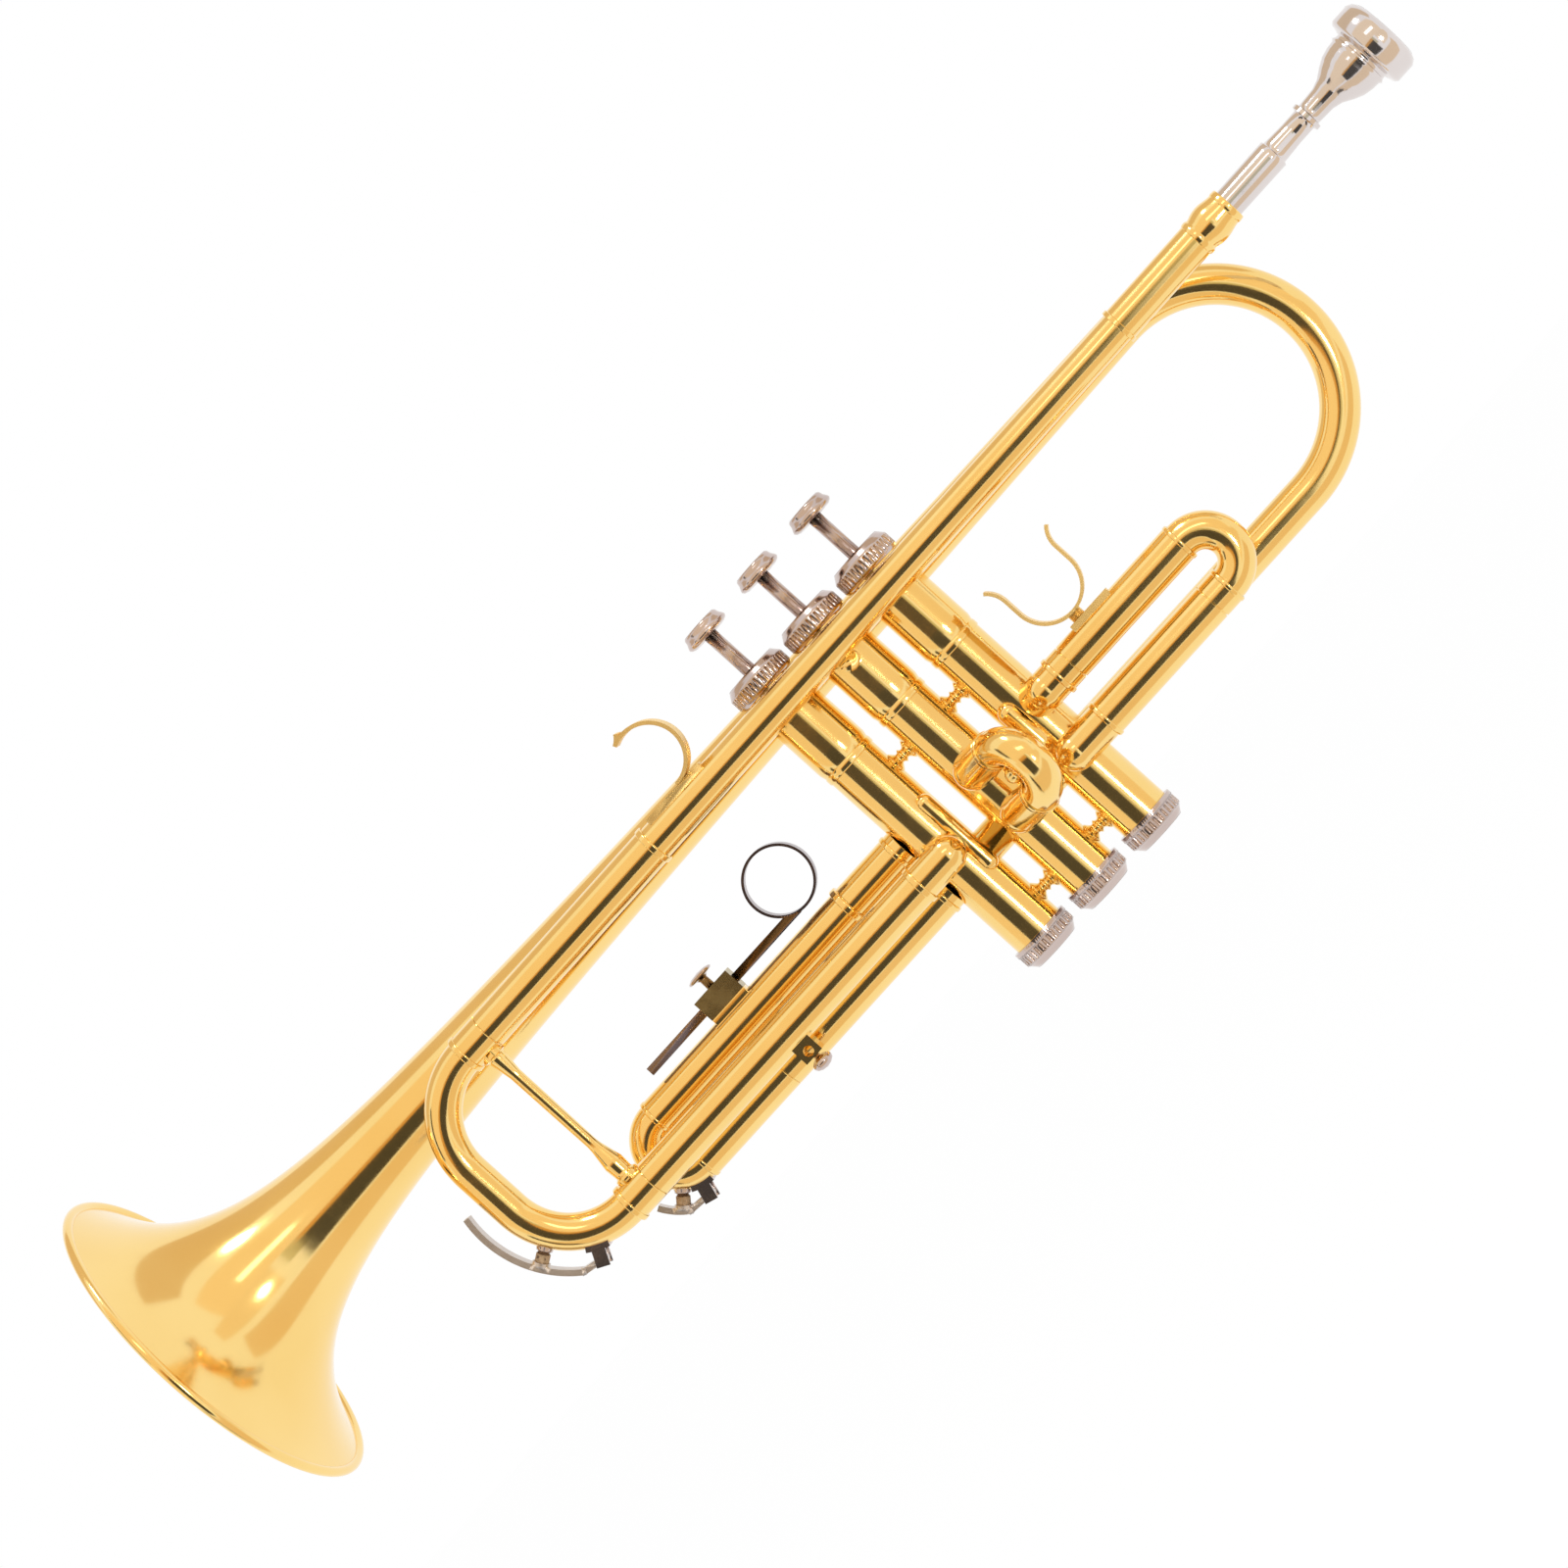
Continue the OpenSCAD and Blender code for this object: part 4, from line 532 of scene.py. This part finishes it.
def long_card(name, low, high, far, colour, strength, x=(-4, 4)):
    """A card along X that fills the angles low to high above the horizon, seen from the part."""
    (y0, z0), (y1, z1) = [(-far * math.cos(math.radians(a)), far * math.sin(math.radians(a)))
                          for a in (low, high)]
    return card(name, [(x[0], y0, z0), (x[1], y0, z0), (x[1], y1, z1), (x[0], y1, z1)], colour, strength)


WARM, TAN, BROWN, CHARCOAL = (1.0, 0.84, 0.64), (0.92, 0.74, 0.54), (0.72, 0.40, 0.14), (0.09, 0.085, 0.08)
long_card("charcoal_front_card", -29, 5, 2.0, CHARCOAL, 0.9, x=(-1.75, 0.16))
long_card("brown_front_card", 5, 12, 2.0, BROWN, 1.0, x=(-1.75, 0.16))
long_card("olive_front_card", -8, 12, 2.05, (0.74, 0.70, 0.52), 0.85, x=(0.16, 0.42))
long_card("warm_upper_card", 12, 62, 2.2, WARM, 0.98)
long_card("tan_top_card", 84, 128, 2.4, TAN, 0.85)
long_card("warm_lower_card", -72, -33, 2.2, TAN, 0.95)
long_card("warm_right_card", -22, 12, 2.3, WARM, 0.94, x=(0.75, 9))
long_card("warm_left_card", -22, 12, 2.3, WARM, 0.96, x=(-12, -2.1))
for low, high in ((-2.6, -0.55), (0.55, 1.9)):
    card("charcoal_side_card", [(-2.3, -1.15, low), (-2.3, -0.65, low), (-2.3, -0.65, high), (-2.3, -1.15, high)],
         CHARCOAL, 1.0)
long_card("bright_card", 27, 35, 1.9, (1, 1, 0.97), 2.2, x=(0.06, 1.2))

world = bpy.data.worlds.new("studio")
bpy.context.scene.world = world
world.use_nodes = True
sky = world.node_tree
sky.nodes.clear()
rays = sky.nodes.new("ShaderNodeLightPath")
seen = sky.nodes.new("ShaderNodeBackground")
seen.inputs["Color"].default_value = (1, 1, 1, 1)
seen.inputs["Strength"].default_value = 1.0
felt_light = sky.nodes.new("ShaderNodeBackground")
felt_light.inputs["Color"].default_value = (1, 1, 1, 1)
felt_light.inputs["Strength"].default_value = 0.75
either = sky.nodes.new("ShaderNodeMath")
either.operation = "MAXIMUM"
sky.links.new(rays.outputs["Is Camera Ray"], either.inputs[0])
sky.links.new(rays.outputs["Is Glossy Ray"], either.inputs[1])
both = sky.nodes.new("ShaderNodeMixShader")
sky.links.new(either.outputs[0], both.inputs[0])
sky.links.new(felt_light.outputs[0], both.inputs[1])
sky.links.new(seen.outputs[0], both.inputs[2])
world_out = sky.nodes.new("ShaderNodeOutputWorld")
sky.links.new(both.outputs[0], world_out.inputs["Surface"])


def floor_finish():
    """Pale floor that looks white, and still takes the shadow of the part."""
    finish = Finish("pale_floor")
    mottle = finish.noise(3, 3)
    finish.set(Base_Color=finish.mix(mottle, (0.90, 0.90, 0.90, 1), (0.88, 0.88, 0.88, 1)), Roughness=0.7)
    rays = finish.node("ShaderNodeLightPath")
    either = Level(finish, rays.outputs["Is Camera Ray"]).worked(
        "MAXIMUM", rays.outputs["Is Camera Ray"], rays.outputs["Is Glossy Ray"])
    glow = finish.node("ShaderNodeEmission", None, {"Color": (1, 1, 1, 1), "Strength": 1.045})
    join = finish.node("ShaderNodeMixShader", None, {0: either * 0.85, 1: finish.surface.outputs[0],
                                                      2: glow.outputs[0]})
    out = finish.tree.nodes["Material Output"]
    finish.tree.links.new(join.outputs[0], out.inputs["Surface"])
    return finish.material


bm = bmesh.new()
bmesh.ops.create_grid(bm, x_segments=2, y_segments=2, size=6,
                      matrix=Matrix.Translation((0, 0, -0.34)))
floor_mesh = bpy.data.meshes.new("floor")
bm.to_mesh(floor_mesh)
bm.free()
floor_mesh.materials.append(floor_finish())
floor = bpy.data.objects.new("floor", floor_mesh)
bpy.context.scene.collection.objects.link(floor)
floor.visible_glossy = False


def soft_lamp(name, place, target, size, power, colour=(1, 1, 1)):
    data = bpy.data.lights.new(name, "AREA")
    data.shape, data.size, data.energy, data.color = "DISK", size, power, colour
    lamp = bpy.data.objects.new(name, data)
    lamp.location = place
    lamp.rotation_euler = (Vector(target) - Vector(place)).to_track_quat("-Z", "Y").to_euler()
    bpy.context.scene.collection.objects.link(lamp)
    return lamp


soft_lamp("top_lamp", (0.5, -0.6, 2.2), (0, 0, 0), 0.5, 9)
soft_lamp("low_lamp", (0.9, -1.7, -0.2), (0, 0, 0.03), 0.25, 4)

# ---------------------------------------------------------------- camera

right, up = Vector((0.664498, 0.080477, -0.742944)), Vector((0.738711, 0.079477, 0.669321))
back = right.cross(up).normalized()
up = back.cross(right).normalized()
lens = bpy.data.cameras.new("camera")
lens.sensor_width, lens.sensor_fit = 36, "HORIZONTAL"
lens.lens = 4510.3 / 1600 * 36
lens.shift_x, lens.shift_y = -45.52 / 1600, -41.71 / 1600
lens.clip_start, lens.clip_end = 0.05, 30
camera = bpy.data.objects.new("camera", lens)
turned = Matrix((right.normalized(), up, back)).transposed()
camera.matrix_world = Matrix.Translation((0.13063, -1.36806, 0.03941)) @ turned.to_4x4()
bpy.context.scene.collection.objects.link(camera)
bpy.context.scene.camera = camera
bpy.context.scene.view_settings.view_transform = "Standard"
